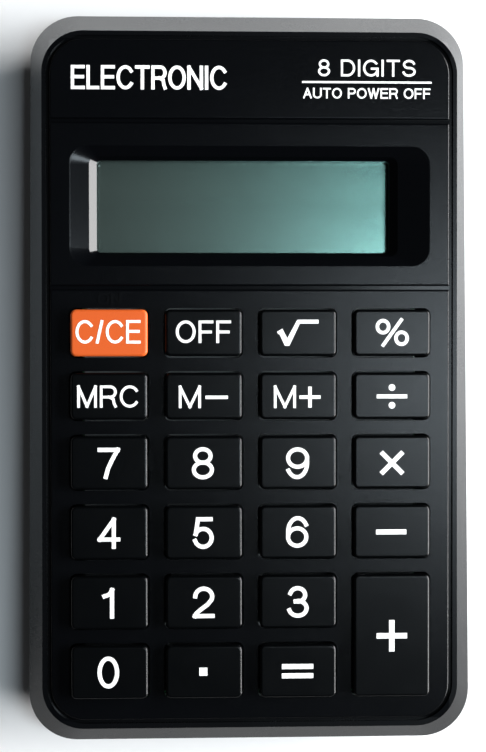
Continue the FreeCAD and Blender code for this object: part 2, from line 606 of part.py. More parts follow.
def rear_housing():
    body = new_body("rear_housing", False)
    tub_shape(body)
    lip_foot = new_sketch(body, "lip_foot", belt_height)
    foot_inset = wall + shell_gap
    rounded(lip_foot, 0, 0, case_width - 2 * foot_inset, case_length - 2 * foot_inset,
            belt_radius - foot_inset)
    lip_top = new_sketch(body, "lip_top", belt_height + lip_height)
    top_inset = foot_inset + lip_lean
    rounded(lip_top, 0, 0, case_width - 2 * top_inset, case_length - 2 * top_inset, belt_radius - top_inset)
    loft(body, "Additive", lip_foot, lip_top)

    inner_base = new_sketch(body, "inner_base", floor_top)
    rounded(inner_base, 0, 0, case_width - 2 * (base_inset + wall), case_length - 2 * (base_inset + wall),
            belt_radius - wall)
    inner_belt = new_sketch(body, "inner_belt", belt_height - lip_height)
    belt_inset = wall + inner_draft
    rounded(inner_belt, 0, 0, case_width - 2 * belt_inset, case_length - 2 * belt_inset, belt_radius - wall)
    loft(body, "Subtractive", inner_base, inner_belt)
    mouth = new_sketch(body, "mouth", belt_height + lip_height)
    mouth_inset = top_inset + lip_flange
    rounded(mouth, 0, 0, case_width - 2 * mouth_inset, case_length - 2 * mouth_inset, belt_radius - top_inset)
    pocket(body, mouth, 2 * lip_height + over)

    tongue_half = cover_half + tongue_reach + cover_gap
    slot_low = foot_proud + cover_skin
    slot_high = slot_low + cover_tongue + cover_gap
    bay_outer = bay_half + bay_wall
    bay = new_sketch(body, "bay", floor_top - sink)
    rectangle(bay, -bay_outer, bay_outer, bay_low - bay_wall, bay_high + bay_wall)
    pad(body, bay, bay_roof + bay_top - floor_top + sink)
    rails = new_sketch(body, "rails", slot_low)
    rectangle(rails, -tongue_half - wall, tongue_half + wall, bay_low - bay_wall, bay_high + bay_wall)
    pad(body, rails, slot_high + rail_thick - slot_low)
    bay_room = new_sketch(body, "bay_room", bay_roof)
    rectangle(bay_room, -bay_half, bay_half, bay_low, bay_high)
    pocket(body, bay_room, bay_roof - foot_proud)
    tongue_way = new_sketch(body, "tongue_way", slot_high)
    rectangle(tongue_way, -tongue_half, tongue_half, cover_front - cover_gap, case_length / 2)
    pocket(body, tongue_way, slot_high - slot_low)
    cover_way = new_sketch(body, "cover_way", slot_low)
    rectangle(cover_way, -cover_half - cover_gap, cover_half + cover_gap, cover_front - cover_gap,
              case_length / 2)
    pocket(body, cover_way, slot_low)
    tails = new_sketch(body, "tail_slots", cell_height - tail_width / 2 - cover_gap)
    for side in (-1, 1):
        inner = side * (bay_half - contact_thick - cover_gap)
        outer = side * bay_half
        low, high = (inner, outer) if side > 0 else (outer, inner)
        rectangle(tails, low, high, bay_low - bay_wall - over, bay_low + over)
    pocket(body, tails, tail_width + 2 * cover_gap, up=True)

    pillars = new_sketch(body, "pillars", floor_top - sink)
    for x, y in CASE_SCREWS:
        circle(pillars, x, y, pillar_radius)
    pad(body, pillars, pillar_top - floor_top + sink)
    heads = new_sketch(body, "head_wells", foot_proud)
    shanks = new_sketch(body, "shank_holes", foot_proud)
    for x, y in CASE_SCREWS:
        circle(heads, x, y, screw_head + hole_gap)
        circle(shanks, x, y, screw_radius + hole_gap)
    pocket(body, heads, screw_sunk, up=True)
    pocket(body, shanks, pillar_top - foot_proud + over, up=True)
    feet = new_sketch(body, "foot_seats", foot_proud)
    for x, y in FEET:
        circle(feet, x, y, foot_radius + seat_gap)
    pocket(body, feet, foot_recess, up=True)


def battery_cover():
    body = new_body("battery_cover", False)
    tub_shape(body)
    keep = new_sketch(body, "keep", foot_proud)
    half = cover_half + tongue_reach
    polygon(keep, [(-case_width, -case_length), (case_width, -case_length), (case_width, case_length),
                   (half, case_length), (half, cover_front), (-half, cover_front), (-half, case_length),
                   (-case_width, case_length)])
    pocket(body, keep, case_length, up=True)
    above = new_sketch(body, "above", foot_proud + cover_skin + cover_tongue)
    rectangle(above, -case_width, case_width, 0, case_length)
    pocket(body, above, case_length, up=True)
    sides = new_sketch(body, "sides", foot_proud)
    for side in (-1, 1):
        low, high = (cover_half, case_width) if side > 0 else (-case_width, -cover_half)
        rectangle(sides, low, high, 0, case_length)
    pocket(body, sides, cover_skin + cover_gap / 2, up=True)
    grip = new_sketch(body, "grip", foot_proud)
    first = cover_front + grip_start
    rectangle(grip, -grip_length / 2, grip_length / 2, first, first + grip_pitch / 2)
    groove = pocket(body, grip, grip_depth, up=True)
    row = body.newObject("PartDesign::LinearPattern", "grip_row")
    row.Originals = [groove]
    axis = next(f for f in body.Origin.OriginFeatures if f.Role == "Y_Axis")
    row.Direction = (axis, [""])
    row.Length = (grip_pitch * (grip_count.value - 1)).value
    bind(row, "Length", grip_pitch * (grip_count - 1))
    row.Occurrences = int(grip_count.value)
    bind(row, "Occurrences", grip_count)
    body.Tip = row


def rubber_feet():
    body = new_body("rubber_feet", False)
    discs = new_sketch(body, "discs", 0)
    for x, y in FEET:
        circle(discs, x, y, foot_radius)
    pad(body, discs, foot_proud + foot_recess)
    fillet(body, foot_proud / 3, lambda edge: at_level(edge, 0))


def screw_group(name, places, level, head, head_tall, shank, length, on_face_frame):
    """Identical cross-head screws; the level is under their heads."""
    body = new_body(name, on_face_frame)
    heads = new_sketch(body, "heads", level)
    shanks = new_sketch(body, "shanks", level)
    for x, y in places:
        circle(heads, x, y, head)
        circle(shanks, x, y, shank)
    pad(body, heads, head_tall, down=True)
    pad(body, shanks, length)
    arm, half, slot_depth = head * 0.6, slot_width / 2, head_tall * 0.6
    for name, reach_x, reach_y in (("slots_across", arm, half), ("slots_along", half, arm)):
        slots = new_sketch(body, name, level - head_tall)
        for x, y in places:
            rectangle(slots, x - reach_x, x + reach_x, y - reach_y, y + reach_y)
        pocket(body, slots, slot_depth, up=True)


# ---------------------------------------------------------------- keys and key sheet
def key_cap(name, x, y, opening):
    body = new_body(name, True)
    width = key_opening - 2 * key_gap
    length = opening - 2 * key_gap
    shell = new_sketch(body, "shell", skirt_level)
    rounded(shell, x, y, width, length, opening_radius - key_gap)
    pad(body, shell, key_proud - skirt_level)
    hollow = new_sketch(body, "hollow", skirt_level)
    rectangle(hollow, x - width / 2 + key_wall, x + width / 2 - key_wall,
              y - length / 2 + key_wall, y + length / 2 - key_wall)
    pocket(body, hollow, key_proud - key_roof - skirt_level, up=True)
    post = new_sketch(body, "post", skirt_level)
    circle(post, x, y, key_post)
    pad(body, post, key_proud - key_roof - skirt_level + sink)
    tabs = new_sketch(body, "tabs", skirt_level)
    reach = key_opening / 2 + tab_reach
    for side in (-1, 1):
        near, far = x + side * (width / 2 - key_wall / 2), x + side * reach
        low, high = (near, far) if side > 0 else (far, near)
        rectangle(tabs, low, high, y - tab_length / 2, y + tab_length / 2)
    pad(body, tabs, tab_thick)
    fillet(body, key_edge, lambda edge: at_level(edge, key_proud.value))


def sheet_outline(body, name, level, margin):
    """The outline that the dome sheet and the board share, grown by a margin."""
    sketch = new_sketch(body, name, level)
    grown = dome_foot + sheet_margin + margin
    left, right = COLUMNS[0] - grown, COLUMNS[3] + grown
    low, high = ROWS[5] - grown, ROWS[0] + grown
    rounded(sketch, (left + right) / 2, (low + high) / 2, right - left, high - low, sheet_corner)
    return sketch


def dome_sheet():
    body = new_body("dome_sheet", True)
    base = sheet_outline(body, "base", board_level, sized(0))
    pad(body, base, sheet_thick)
    domes = new_sketch(body, "domes", sheet_level)
    hollows = new_sketch(body, "hollows", board_level)
    lean = math.degrees(math.atan((dome_foot.value - dome_top.value) / dome_rise.value))
    inner_lean = lean * 0.6
    for _, x, y, _ in KEYS:
        circle(domes, x, y, dome_foot)
        circle(hollows, x, y, dome_foot - dome_wall)
    pad(body, domes, dome_rise, taper=-lean)
    pocket(body, hollows, sheet_thick + dome_rise - dome_wall, up=True,
           taper=-inner_lean)
    holes = new_sketch(body, "post_holes", board_level)
    for x, y in POSTS:
        circle(holes, x, y, post_radius + hole_gap)
    for side in (-1, 1):
        circle(holes, side * 2 * web, screw_web, boss_radius + boss_way)
    pocket(body, holes, sheet_thick + over, up=True)


def discs(name, level, radius, thick, down):
    """One thin disc under each key."""
    body = new_body(name, True)
    rings = new_sketch(body, "rings", level)
    for _, x, y, _ in KEYS:
        circle(rings, x, y, radius)
    pad(body, rings, thick, down=down)


# ---------------------------------------------------------------- board and its parts
def circuit_board():
    body = new_body("circuit_board", True)
    base = new_sketch(body, "base", board_floor)
    grown = dome_foot + sheet_margin + board_margin
    low = ROWS[5] - grown
    rounded(base, 0, (low + board_head) / 2, COLUMNS[3] * 2 + 2 * grown, board_head - low, sheet_corner)
    pad(body, base, board_thick)
    holes = new_sketch(body, "screw_holes", board_floor)
    for x, y in POSTS:
        circle(holes, x, y, post_hole + hole_gap)
    for side in (-1, 1):
        circle(holes, side * 2 * web, screw_web, boss_radius + boss_way)
    pocket(body, holes, board_thick + over, up=True)


def chip_cover():
    body = new_body("chip_cover", True)
    blob = new_sketch(body, "blob", board_floor)
    circle(blob, web, display_groove - chip_below, chip_radius)
    pad(body, blob, chip_thick, down=True)
    fillet(body, chip_edge, lambda edge: at_level(edge, (board_floor - chip_thick).value))


def risers(body, places, level):
    """Soldered wire ends from the legs up to the board."""
    low = level - joint_radius - spring_clear
    ends = new_sketch(body, "rises", low)
    for x, y in places:
        circle(ends, x, y, joint_radius)
    pad(body, ends, board_floor - low)


def lying_can(name, x, y, radius, length, crimp):
    """A round part lying under the board, along the face, with two wire legs."""
    body = new_body(name, True)
    level = board_floor - radius - part_gap
    end = new_sketch(body, "end", -y, plane="XZ_Plane")
    circle(end, x, level, radius)
    pad(body, end, length)
    if crimp:
        neck = new_sketch(body, "neck", length - y - crimp_place, plane="XZ_Plane")
        circle(neck, x, level, radius - crimp_depth)
        circle(neck, x, level, radius + over)
        pocket(body, neck, crimp_width)
    legs = new_sketch(body, "legs", length - y, plane="XZ_Plane")
    for side in (-1, 1):
        circle(legs, x + side * radius / 2, level, leg_radius)
    pad(body, legs, leg_reach)
    risers(body, [(x + side * radius / 2, y - length - leg_reach) for side in (-1, 1)], level)


def resistor():
    body = new_body("resistor", True)
    level = board_floor - resistor_radius - part_gap
    end = new_sketch(body, "end", -resistor_y, plane="XZ_Plane")
    circle(end, resistor_x, level, resistor_radius)
    pad(body, end, resistor_length)
    wire = new_sketch(body, "wire", -resistor_y - leg_reach, plane="XZ_Plane")
    circle(wire, resistor_x, level, leg_radius)
    pad(body, wire, resistor_length + 2 * leg_reach)
    risers(body, [(resistor_x, resistor_y + leg_reach),
                  (resistor_x, resistor_y - resistor_length - leg_reach)], level)


# ---------------------------------------------------------------- display
def display_plate(name, level, thick, width, low, high):
    body = new_body(name, True)
    outline = new_sketch(body, "outline", level)
    rounded(outline, window_middle, (low + high) / 2, width, high - low, plate_corner)
    pad(body, outline, thick, down=True)


def display_parts():
    low = recess_middle - lens_depth / 2
    high = recess_middle + lens_depth / 2
    display_plate("display_window", lens_level, lens_thick, lens_width, low, high)
    film_width = lens_width - 2 * film_inset
    display_plate("lcd_front_polariser", polariser_level, film, film_width, low + film_inset,
                  high - film_inset)
    display_plate("lcd_upper_glass", upper_level, glass, lens_width, low, high)
    display_plate("lcd_lower_glass", lower_level, glass, lens_width, low - glass_ledge, high)
    display_plate("lcd_rear_reflector", reflector_level, film, film_width, low + film_inset,
                  high - film_inset)
    clip = new_body("display_clip", True)
    outline = new_sketch(clip, "outline", clip_level)
    rounded(outline, window_middle, recess_middle, lens_width + 2 * clip_margin, lens_depth + 2 * clip_over,
            clip_corner)
    pad(clip, outline, clip_thick, down=True)
    ears = new_sketch(clip, "ears", clip_level)
    ear = 2 * (small_head + clip_margin)
    rounded(ears, window_middle, recess_middle, 2 * clip_screw + ear, ear, clip_corner)
    pad(clip, ears, clip_thick, down=True)
    opening = new_sketch(clip, "opening", clip_level)
    rounded(opening, window_middle, recess_middle, lens_width - 2 * clip_frame, lens_depth - 2 * clip_bar,
            clip_corner)
    pocket(clip, opening, clip_thick + over)
    holes = new_sketch(clip, "holes", clip_level)
    for x, y in CLIP_POSTS:
        circle(holes, x, y, post_hole + hole_gap)
    pocket(clip, holes, clip_thick + over)

    ribbon = new_body("lcd_ribbon", True)
    profile = new_sketch(ribbon, "profile", window_middle - ribbon_width / 2, plane="YZ_Plane")
    glass_edge = low - glass_ledge
    polygon(profile, [(board_head - ribbon_land, board_level), (board_head, board_level),
                      (glass_edge, lower_level), (low - ribbon_seat, lower_level),
                      (low - ribbon_seat, lower_level + ribbon_thick),
                      (glass_edge, lower_level + ribbon_thick),
                      (board_head, board_level + ribbon_thick),
                      (board_head - ribbon_land, board_level + ribbon_thick)])
    pad(ribbon, profile, ribbon_width)


# ---------------------------------------------------------------- battery
plus_end = bay_half - contact_thick
minus_end = plus_end - cell_length


def battery_cell():
    body = new_body("battery_cell", False)
    can = new_sketch(body, "can", minus_end, plane="YZ_Plane")
    circle(can, cell_middle, cell_height, cell_radius)
    pad(body, can, cell_length - nub_length)
    nub = new_sketch(body, "nub", plus_end - nub_length, plane="YZ_Plane")
    circle(nub, cell_middle, cell_height, nub_radius)
    pad(body, nub, nub_length)
    ends = (minus_end.value, (plus_end - nub_length).value)

    def on_shoulder(edge):
        box = edge.BoundBox
        return box.YLength > 2 * cell_radius.value - 1 and any(
            abs(box.XMin - x) < 0.01 and abs(box.XMax - x) < 0.01 for x in ends)

    fillet(body, cell_edge, on_shoulder)


def battery_contacts():
    for name, side in (("battery_plate", 1), ("battery_spring_plate", -1)):
        body = new_body(name, False)
        start = plus_end if side > 0 else -bay_half
        face = new_sketch(body, "face", start, plane="YZ_Plane")
        rounded(face, cell_middle, cell_height, contact_width, contact_width, contact_corner)
        pad(body, face, contact_thick)
        tail = new_sketch(body, "tail", start, plane="YZ_Plane")
        rectangle(tail, bay_low - bay_wall - tail_out, cell_middle - contact_width / 2 + sink,
                  cell_height - tail_width / 2, cell_height + tail_width / 2)
        pad(body, tail, contact_thick)


def battery_spring():
    """A coil between the spring plate and the cell's flat end."""
    feature = doc.addObject("Part::Feature", "battery_spring")
    feature.Label = "battery_spring"
    start = (contact_thick + spring_wire + spring_clear - bay_half).value
    end = (minus_end - spring_wire - spring_clear).value
    span = end - start
    helix = Part.makeHelix(span / spring_turns.value, span, spring_radius.value)
    near, far = (spring_radius - spring_wire).value, (spring_radius + spring_wire).value
    section = Part.Wire([
        Part.Arc(Vector(first, 0, 0), Vector(spring_radius.value, 0, rise), Vector(last, 0, 0)).toShape()
        for first, last, rise in ((far, near, spring_wire.value), (near, far, -spring_wire.value))])
    feature.Shape = Part.Wire(helix).makePipeShell([section], True, True)
    feature.Placement = Placement(Vector(start, cell_middle.value, cell_height.value),
                                  Rotation(Vector(0, 1, 0), 90))
    NODES.append(feature)


def lead(name, side):
    """A wire from a contact's tail to the underside of the board."""
    x = side * (bay_half.value - contact_thick.value / 2)
    tail_y = (bay_low - bay_wall - tail_out).value
    low = (floor_top + lead_radius + lead_lift).value
    board_x, board_y = side * lead_x.value, (display_groove - lead_below).value
    face = Placement(Vector(0, face_shift.value, face_height.value),
                     Rotation(Vector(1, 0, 0), face_tilt.value))
    foot = face.multVec(Vector(board_x, board_y, board_floor.value))
    below = face.multVec(Vector(board_x, board_y, board_floor.value - (foot.z - low)))
    route = [Vector(x, tail_y, cell_height.value), Vector(x, tail_y - lead_run.value, cell_height.value),
             Vector(x, tail_y - lead_drop.value, low), below, foot]
    edges = []
    start = route[0]
    for before, corner, after in zip(route, route[1:], route[2:]):
        inward = (before - corner).normalize()
        outward = (after - corner).normalize()
        half = inward.getAngle(outward) / 2
        run = lead_bend.value / math.tan(half)
        centre = corner + (inward + outward).normalize() * (lead_bend.value / math.sin(half))
        first, last = corner + inward * run, corner + outward * run
        middle = centre + (corner - centre).normalize() * lead_bend.value
        edges += [Part.makeLine(start, first), Part.Arc(first, middle, last).toShape()]
        start = last
    edges.append(Part.makeLine(start, route[-1]))
    feature = doc.addObject("Part::Feature", name)
    feature.Label = name
    section = Part.Wire([Part.makeCircle(lead_radius.value, route[0], route[1] - route[0])])
    feature.Shape = Part.Wire(edges).makePipeShell([section], True, False)
    NODES.append(feature)


# ---------------------------------------------------------------- build, test and write
front_housing()
rear_housing()
battery_cover()
rubber_feet()
screw_group("case_screws", CASE_SCREWS, head_seat, screw_head, screw_head_tall, screw_radius,
            screw_length, False)
screw_group("board_screws", POSTS, board_floor, small_head, small_head_tall, post_hole, small_length,
            True)
screw_group("clip_screws", CLIP_POSTS, clip_level - clip_thick, small_head, small_head_tall, post_hole,
            small_length, True)
for key in KEYS:
    key_cap(*key)
dome_sheet()
discs("contact_pills", dome_level - dome_wall, pill_radius, pill_thick, True)
discs("contact_pads", board_level, pad_radius, pad_thick, False)
circuit_board()
chip_cover()
lying_can("electrolytic_capacitor", can_x, can_y, can_radius, can_length, True)
lying_can("ceramic_capacitor", bead_x, bead_y, bead_radius, bead_length, False)
resistor()
display_parts()
battery_cell()
battery_contacts()
battery_spring()
lead("battery_lead_red", 1)
lead("battery_lead_black", -1)
doc.recompute()

for thing in doc.Objects:
    if "Invalid" in thing.State or "Error" in thing.State:
        raise RuntimeError(f"{thing.Label} did not build: {thing.State}")
for node in NODES:
    if node.Shape.isNull() or not node.Shape.isValid() or not node.Shape.Solids:
        raise RuntimeError(f"{node.Label} has no sound solid")

os.makedirs("parts", exist_ok=True)
for node in NODES:
    node.Shape.exportStep(f"parts/{node.Label}.step")
    print(f"{node.Label}: {len(node.Shape.Solids)} solids, {node.Shape.Volume:.1f} cubic mm")
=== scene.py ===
import json
import math

import bmesh
import bpy
import numpy as np
from bpy.props import FloatProperty, FloatVectorProperty, IntProperty, PointerProperty
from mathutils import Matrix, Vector


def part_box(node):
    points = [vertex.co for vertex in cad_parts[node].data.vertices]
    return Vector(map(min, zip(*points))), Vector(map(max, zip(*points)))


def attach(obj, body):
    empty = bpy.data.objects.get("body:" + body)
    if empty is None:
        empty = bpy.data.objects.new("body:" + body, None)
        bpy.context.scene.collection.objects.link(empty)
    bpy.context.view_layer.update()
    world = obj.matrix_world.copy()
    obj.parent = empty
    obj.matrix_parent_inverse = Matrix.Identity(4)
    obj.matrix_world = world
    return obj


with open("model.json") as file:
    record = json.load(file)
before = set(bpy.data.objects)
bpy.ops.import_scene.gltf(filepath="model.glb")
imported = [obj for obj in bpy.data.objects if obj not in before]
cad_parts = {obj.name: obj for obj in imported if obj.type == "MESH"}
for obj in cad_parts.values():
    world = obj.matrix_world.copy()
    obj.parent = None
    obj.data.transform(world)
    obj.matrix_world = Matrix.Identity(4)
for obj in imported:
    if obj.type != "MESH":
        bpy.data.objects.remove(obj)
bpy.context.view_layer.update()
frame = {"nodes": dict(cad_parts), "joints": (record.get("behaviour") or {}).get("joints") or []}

bl_info = {
    "name": "Pocket calculator",
    "version": (1, 0, 0),
    "blender": (4, 5, 0),
    "location": "3D View > Sidebar > Calculator",
    "description": "Dresses the pocket calculator's parts in their finishes, prints and lights",
    "category": "Object",
}

MM = 0.001
PLASTIC_IOR = 1.3
LENS_IOR = 1.45
GLASS_IOR = 1.52
TINNED = (0.60, 0.60, 0.58, 1)


# ---------------------------------------------------------------- places on the case
def points_of(node):
    """The corners of a CAD node's mesh, one row each."""
    mesh = frame["nodes"][node].data
    found = np.zeros(len(mesh.vertices) * 3, np.float32)
    mesh.vertices.foreach_get("co", found)
    return found.reshape(-1, 3).astype(float)


PRESS = next(joint["axis"] for joint in frame["joints"] if joint["name"].endswith("_press"))
UP = -Vector(PRESS).normalized()
ACROSS = Vector((1, 0, 0))
ALONG = Vector((0, UP.z, -UP.y))


def top_of(node):
    """How high a node reaches, measured squarely to the face."""
    return float((points_of(node) @ np.array(UP)).max())


FACE_LEVEL = top_of("front_housing")
SHELL = points_of("front_housing")
PANEL = SHELL[SHELL @ np.array(UP) > FACE_LEVEL - 0.02 * MM]
PANEL_ALONG = PANEL @ np.array(ALONG)
FACE_MIDDLE = float(PANEL_ALONG.max() + PANEL_ALONG.min()) / 2
PANEL_HALF_WIDTH = float(np.abs(PANEL[:, 0]).max())
PANEL_HALF_LENGTH = float(PANEL_ALONG.max() - PANEL_ALONG.min()) / 2


def on_face(u, v, level):
    """The point u across and v along from the middle of the face, at a level."""
    return ACROSS * u + ALONG * (FACE_MIDDLE + v) + UP * level


def under_case(x, y, level):
    """The point x, y on the underside, at a level."""
    return Vector((x, y, level))


# ---------------------------------------------------------------- colours
def ink(red, green, blue):
    """A colour given as three numbers up to 255, made linear."""
    shares = (value / 255 for value in (red, green, blue))
    linear = [share / 12.92 if share <= 0.04045 else ((share + 0.055) / 1.055) ** 2.4 for share in shares]
    return (*linear, 1.0)


def shade(colour, amount):
    """The same colour, lighter or darker."""
    return (*(channel * amount for channel in tuple(colour)[:3]), 1.0)


def colour_property(name, description, default):
    """A colour that the user may change."""
    return FloatVectorProperty(name=name, description=description, default=default, size=4,
                               subtype="COLOR", min=0.0, max=1.0)


def length_property(name, description, default):
    """A length that the user may change."""
    return FloatProperty(name=name, description=description, default=default, min=0.0, unit="LENGTH",
                         subtype="DISTANCE", precision=5)


class CalculatorColours(bpy.types.PropertyGroup):
    """The colours of the calculator."""

    case: colour_property("Case", "Moulded plastic of both shells", (0.0009, 0.0011, 0.0015, 1.0))
    keys: colour_property("Keys", "Moulded plastic of the black keys", (0.0006, 0.0008, 0.0010, 1.0))
    clear_key: colour_property("Clear key", "Moulded plastic of the clearing key", ink(184, 80, 33))
    legend: colour_property("Legends", "Ink printed on the keys and the header", (0.95, 0.95, 0.94, 1.0))
    # The film's colour at its bright right end, where a painted sheen from the lamps at the right is
    # strongest, and at its dull left end, without the painted sheen.
    display: colour_property("Display", "Front film of the display, at its bright end",
                             (0.21, 0.42, 0.37, 1.0))
    display_without_sheen: colour_property("Display far end", "Front film of the display, at its dull end",
                                 (0.27, 0.36, 0.32, 1.0))
    board: colour_property("Board", "Lacquer of the circuit board", (0.012, 0.095, 0.030, 1.0))
    cell: colour_property("Cell wrap", "Printed sleeve of the battery cell", (0.010, 0.060, 0.130, 1.0))


class CalculatorSizes(bpy.types.PropertyGroup):
    """The sizes of the prints, marks and surface grain."""

    ink_thickness: length_property("Ink thickness", "Thickness of the printed legends", 0.02 * MM)
    mark_height: length_property("Raised marks", "Height of the moulded letters", 0.10 * MM)
    grain: length_property("Face grain", "Size of the moulded grain on the face", 0.24 * MM)
    key_grain: length_property("Key grain", "Size of the fine grain on the keys", 0.16 * MM)
    solder_radius: length_property("Solder joint", "Radius of a solder joint on the board", 0.42 * MM)
    ring_joints: IntProperty(name="Chip joints", description="Joints round the chip", default=28, min=4)


class CalculatorStage(bpy.types.PropertyGroup):
    """The camera, lamps and floor."""

    lens: FloatProperty(name="Lens", description="Focal length", default=73.67, unit="CAMERA")
    camera_place: FloatVectorProperty(name="Camera place", description="Where the camera stands",
                                      default=(-10.31 * MM, -8.34 * MM, 251.17 * MM), unit="LENGTH")
    camera_turn: FloatVectorProperty(name="Camera turn", description="How the camera is turned",
                                     default=tuple(math.radians(a) for a in (1.919, -2.201, -0.168)),
                                     subtype="EULER", unit="ROTATION")
    window_power: FloatProperty(name="Window lamp", description="Power of the low lamp at the right",
                                default=34.0, min=0.0, unit="POWER")
    ceiling_power: FloatProperty(name="Ceiling lamp", description="Power of the high lamp at the right",
                                 default=1.5, min=0.0, unit="POWER")
    room_light: FloatProperty(name="Room light", description="Strength of the light from all round",
                              default=0.03, min=0.0)
    floor: colour_property("Floor", "Plain pale floor", (0.86, 0.86, 0.86, 1.0))


# ---------------------------------------------------------------- mixing a finish
class Wire:
    """A socket of a finish, which can stand in a sum."""

    def __init__(self, finish, socket):
        self.finish = finish
        self.socket = socket

    def sum(self, operation, first, second):
        return self.finish.node("ShaderNodeMath", {"operation": operation}, {0: first, 1: second})

    def __add__(self, other):
        return self.sum("ADD", self, other)

    def __radd__(self, other):
        return self.sum("ADD", other, self)

    def __sub__(self, other):
        return self.sum("SUBTRACT", self, other)

    def __rsub__(self, other):
        return self.sum("SUBTRACT", other, self)

    def __mul__(self, other):
        return self.sum("MULTIPLY", self, other)

    def __rmul__(self, other):
        return self.sum("MULTIPLY", other, self)

    def __lt__(self, other):
        return self.sum("LESS_THAN", self, other)

    def __abs__(self):
        return self.sum("ABSOLUTE", self, 0.0)


class Finish:
    """A material while it is being mixed."""

    def __init__(self, name):
        self.material = bpy.data.materials.new(name)
        self.material.use_nodes = True
        self.tree = self.material.node_tree
        self.tree.nodes.clear()
        self.place = self.node("ShaderNodeTexCoord", out="Object")

    def node(self, kind, settings=None, values=None, out=0):
        """A new node with its settings made, then its sockets filled. Returns one of its outputs."""
        made = self.tree.nodes.new(kind)
        for name, value in (settings or {}).items():
            if name == "stops":
                self.set_stops(made.color_ramp, value)
            else:
                setattr(made, name, value)
        for name, value in (values or {}).items():
            if isinstance(value, Wire):
                self.tree.links.new(value.socket, made.inputs[name])
            else:
                made.inputs[name].default_value = value
        return Wire(self, made.outputs[out]) if made.outputs else None

    def set_stops(self, ramp, stops):
        """Puts the stops, each a place and a colour, on a colour ramp with sharp changes."""
        ramp.interpolation = "CONSTANT"
        while len(ramp.elements) < len(stops):
            ramp.elements.new(1.0)
        for element, (place, colour) in zip(ramp.elements, stops):
            element.position = place
            element.color = colour

    def along(self, direction, start=0.0):
        """How far a point lies in a direction, in metres, from a start."""
        reach = self.node("ShaderNodeVectorMath", {"operation": "DOT_PRODUCT"},
                          {0: self.place, 1: tuple(direction)}, out="Value")
        return reach - start

    def noise(self, size, detail=2.0, roughness=0.5, stretch=(1.0, 1.0, 1.0)):
        """Cloudy variation between 0 and 1 with features of a size."""
        place = self.node("ShaderNodeMapping", {}, {"Vector": self.place, "Scale": stretch})
        return self.node("ShaderNodeTexNoise", {}, {"Vector": place, "Scale": 1 / size, "Detail": detail,
                                                     "Roughness": roughness})

    def pits(self, size):
        """Rounded cells of a size, 0 in the middle of each."""
        return self.node("ShaderNodeTexVoronoi", {"feature": "F1"},
                         {"Vector": self.place, "Scale": 1 / size})

    def stripes(self, value, pitch):
        """A wave between -1 and 1 that repeats each pitch."""
        return self.node("ShaderNodeMath", {"operation": "SINE"}, {0: value * (math.tau / pitch)})

    def rise(self, value, low, high):
        """0 below low, 1 above high, smooth between."""
        return self.node("ShaderNodeMapRange", {"interpolation_type": "SMOOTHSTEP"},
                         {0: value, 1: low, 2: high})

    def mix(self, share, first, second):
        """A colour between two."""
        return self.node("ShaderNodeMix", {"data_type": "RGBA"}, {0: share, 6: first, 7: second}, out=2)

    def bump(self, height, depth, strength=1.0):
        """The surface's lean where it is this high."""
        return self.node("ShaderNodeBump", {}, {"Strength": strength, "Distance": depth, "Height": height})

    def surface(self, **values):
        """Ends the finish with one plastic, metal or rubber surface."""
        named = {name.replace("_", " "): value for name, value in values.items()}
        shader = self.node("ShaderNodeBsdfPrincipled", values=named)
        self.node("ShaderNodeOutputMaterial", values={"Surface": shader})
        return self.material


def dress(node, material):
    """Gives a CAD node its finish."""
    thing = frame["nodes"][node]
    thing.data.materials.clear()
    thing.data.materials.append(material)


# ---------------------------------------------------------------- finishes of the case and keys
def case_plastic(name, look, sizes):
    """Moulded black plastic: grained on the face panel, satin on the band, polished in the sunk places."""
    finish = Finish(name)
    u = finish.along(ACROSS)
    v = finish.along(ALONG, FACE_MIDDLE)
    w = finish.along(UP, FACE_LEVEL)
    past_edge, panel_foot, panel_top = 0.35 * MM, -0.12 * MM, -0.03 * MM
    sunk_foot, sunk_top = -4.0 * MM, -3.0 * MM
    inside = (abs(u) < PANEL_HALF_WIDTH + past_edge) * (abs(v) < PANEL_HALF_LENGTH + past_edge)
    panel = inside * finish.rise(w, panel_foot, panel_top)
    sunk = inside * finish.rise(w, sunk_foot, sunk_top) - panel
    grain = finish.noise(sizes.grain, detail=3.0, roughness=0.6)
    fine = finish.noise(sizes.grain * 0.5, detail=1.0)
    wear = finish.noise(9 * MM, detail=4.0)
    height = grain * 0.7 + fine * 0.3
    roughness = 0.24 - panel * 0.08 + 0.03 * wear - sunk * 0.10 + 0.03 * grain
    colour = finish.mix(grain * 0.5 + wear * 0.3, look.case, shade(look.case, 1.5))
    lean = finish.bump(height * (0.2 + panel * 0.8), 0.02 * MM)
    return finish.surface(Base_Color=colour, Roughness=roughness, Normal=lean, IOR=PLASTIC_IOR)


def key_plastic(name, colour, grain, roughness):
    """Moulded plastic with a finer grain than the case, a little smoother where fingers rub."""
    finish = Finish(name)
    fine = finish.noise(grain, detail=2.0)
    rubbed = finish.noise(5 * MM, detail=3.0)
    tone = finish.mix(fine * 0.6 + rubbed * 0.2, colour, shade(colour, 1.35))
    lean = finish.bump(fine, 0.012 * MM)
    return finish.surface(Base_Color=tone, Roughness=roughness + 0.05 * rubbed, Normal=lean, IOR=PLASTIC_IOR)


def printed_ink(name, colour):
    """Screen-printed ink, with the faint mottle of the mesh it came through."""
    finish = Finish(name)
    mottle = finish.noise(0.3 * MM, detail=2.0)
    tone = finish.mix(mottle, shade(colour, 0.93), colour)
    return finish.surface(Base_Color=tone, Roughness=0.5 + 0.1 * mottle,
                          Normal=finish.bump(mottle, 0.004 * MM))


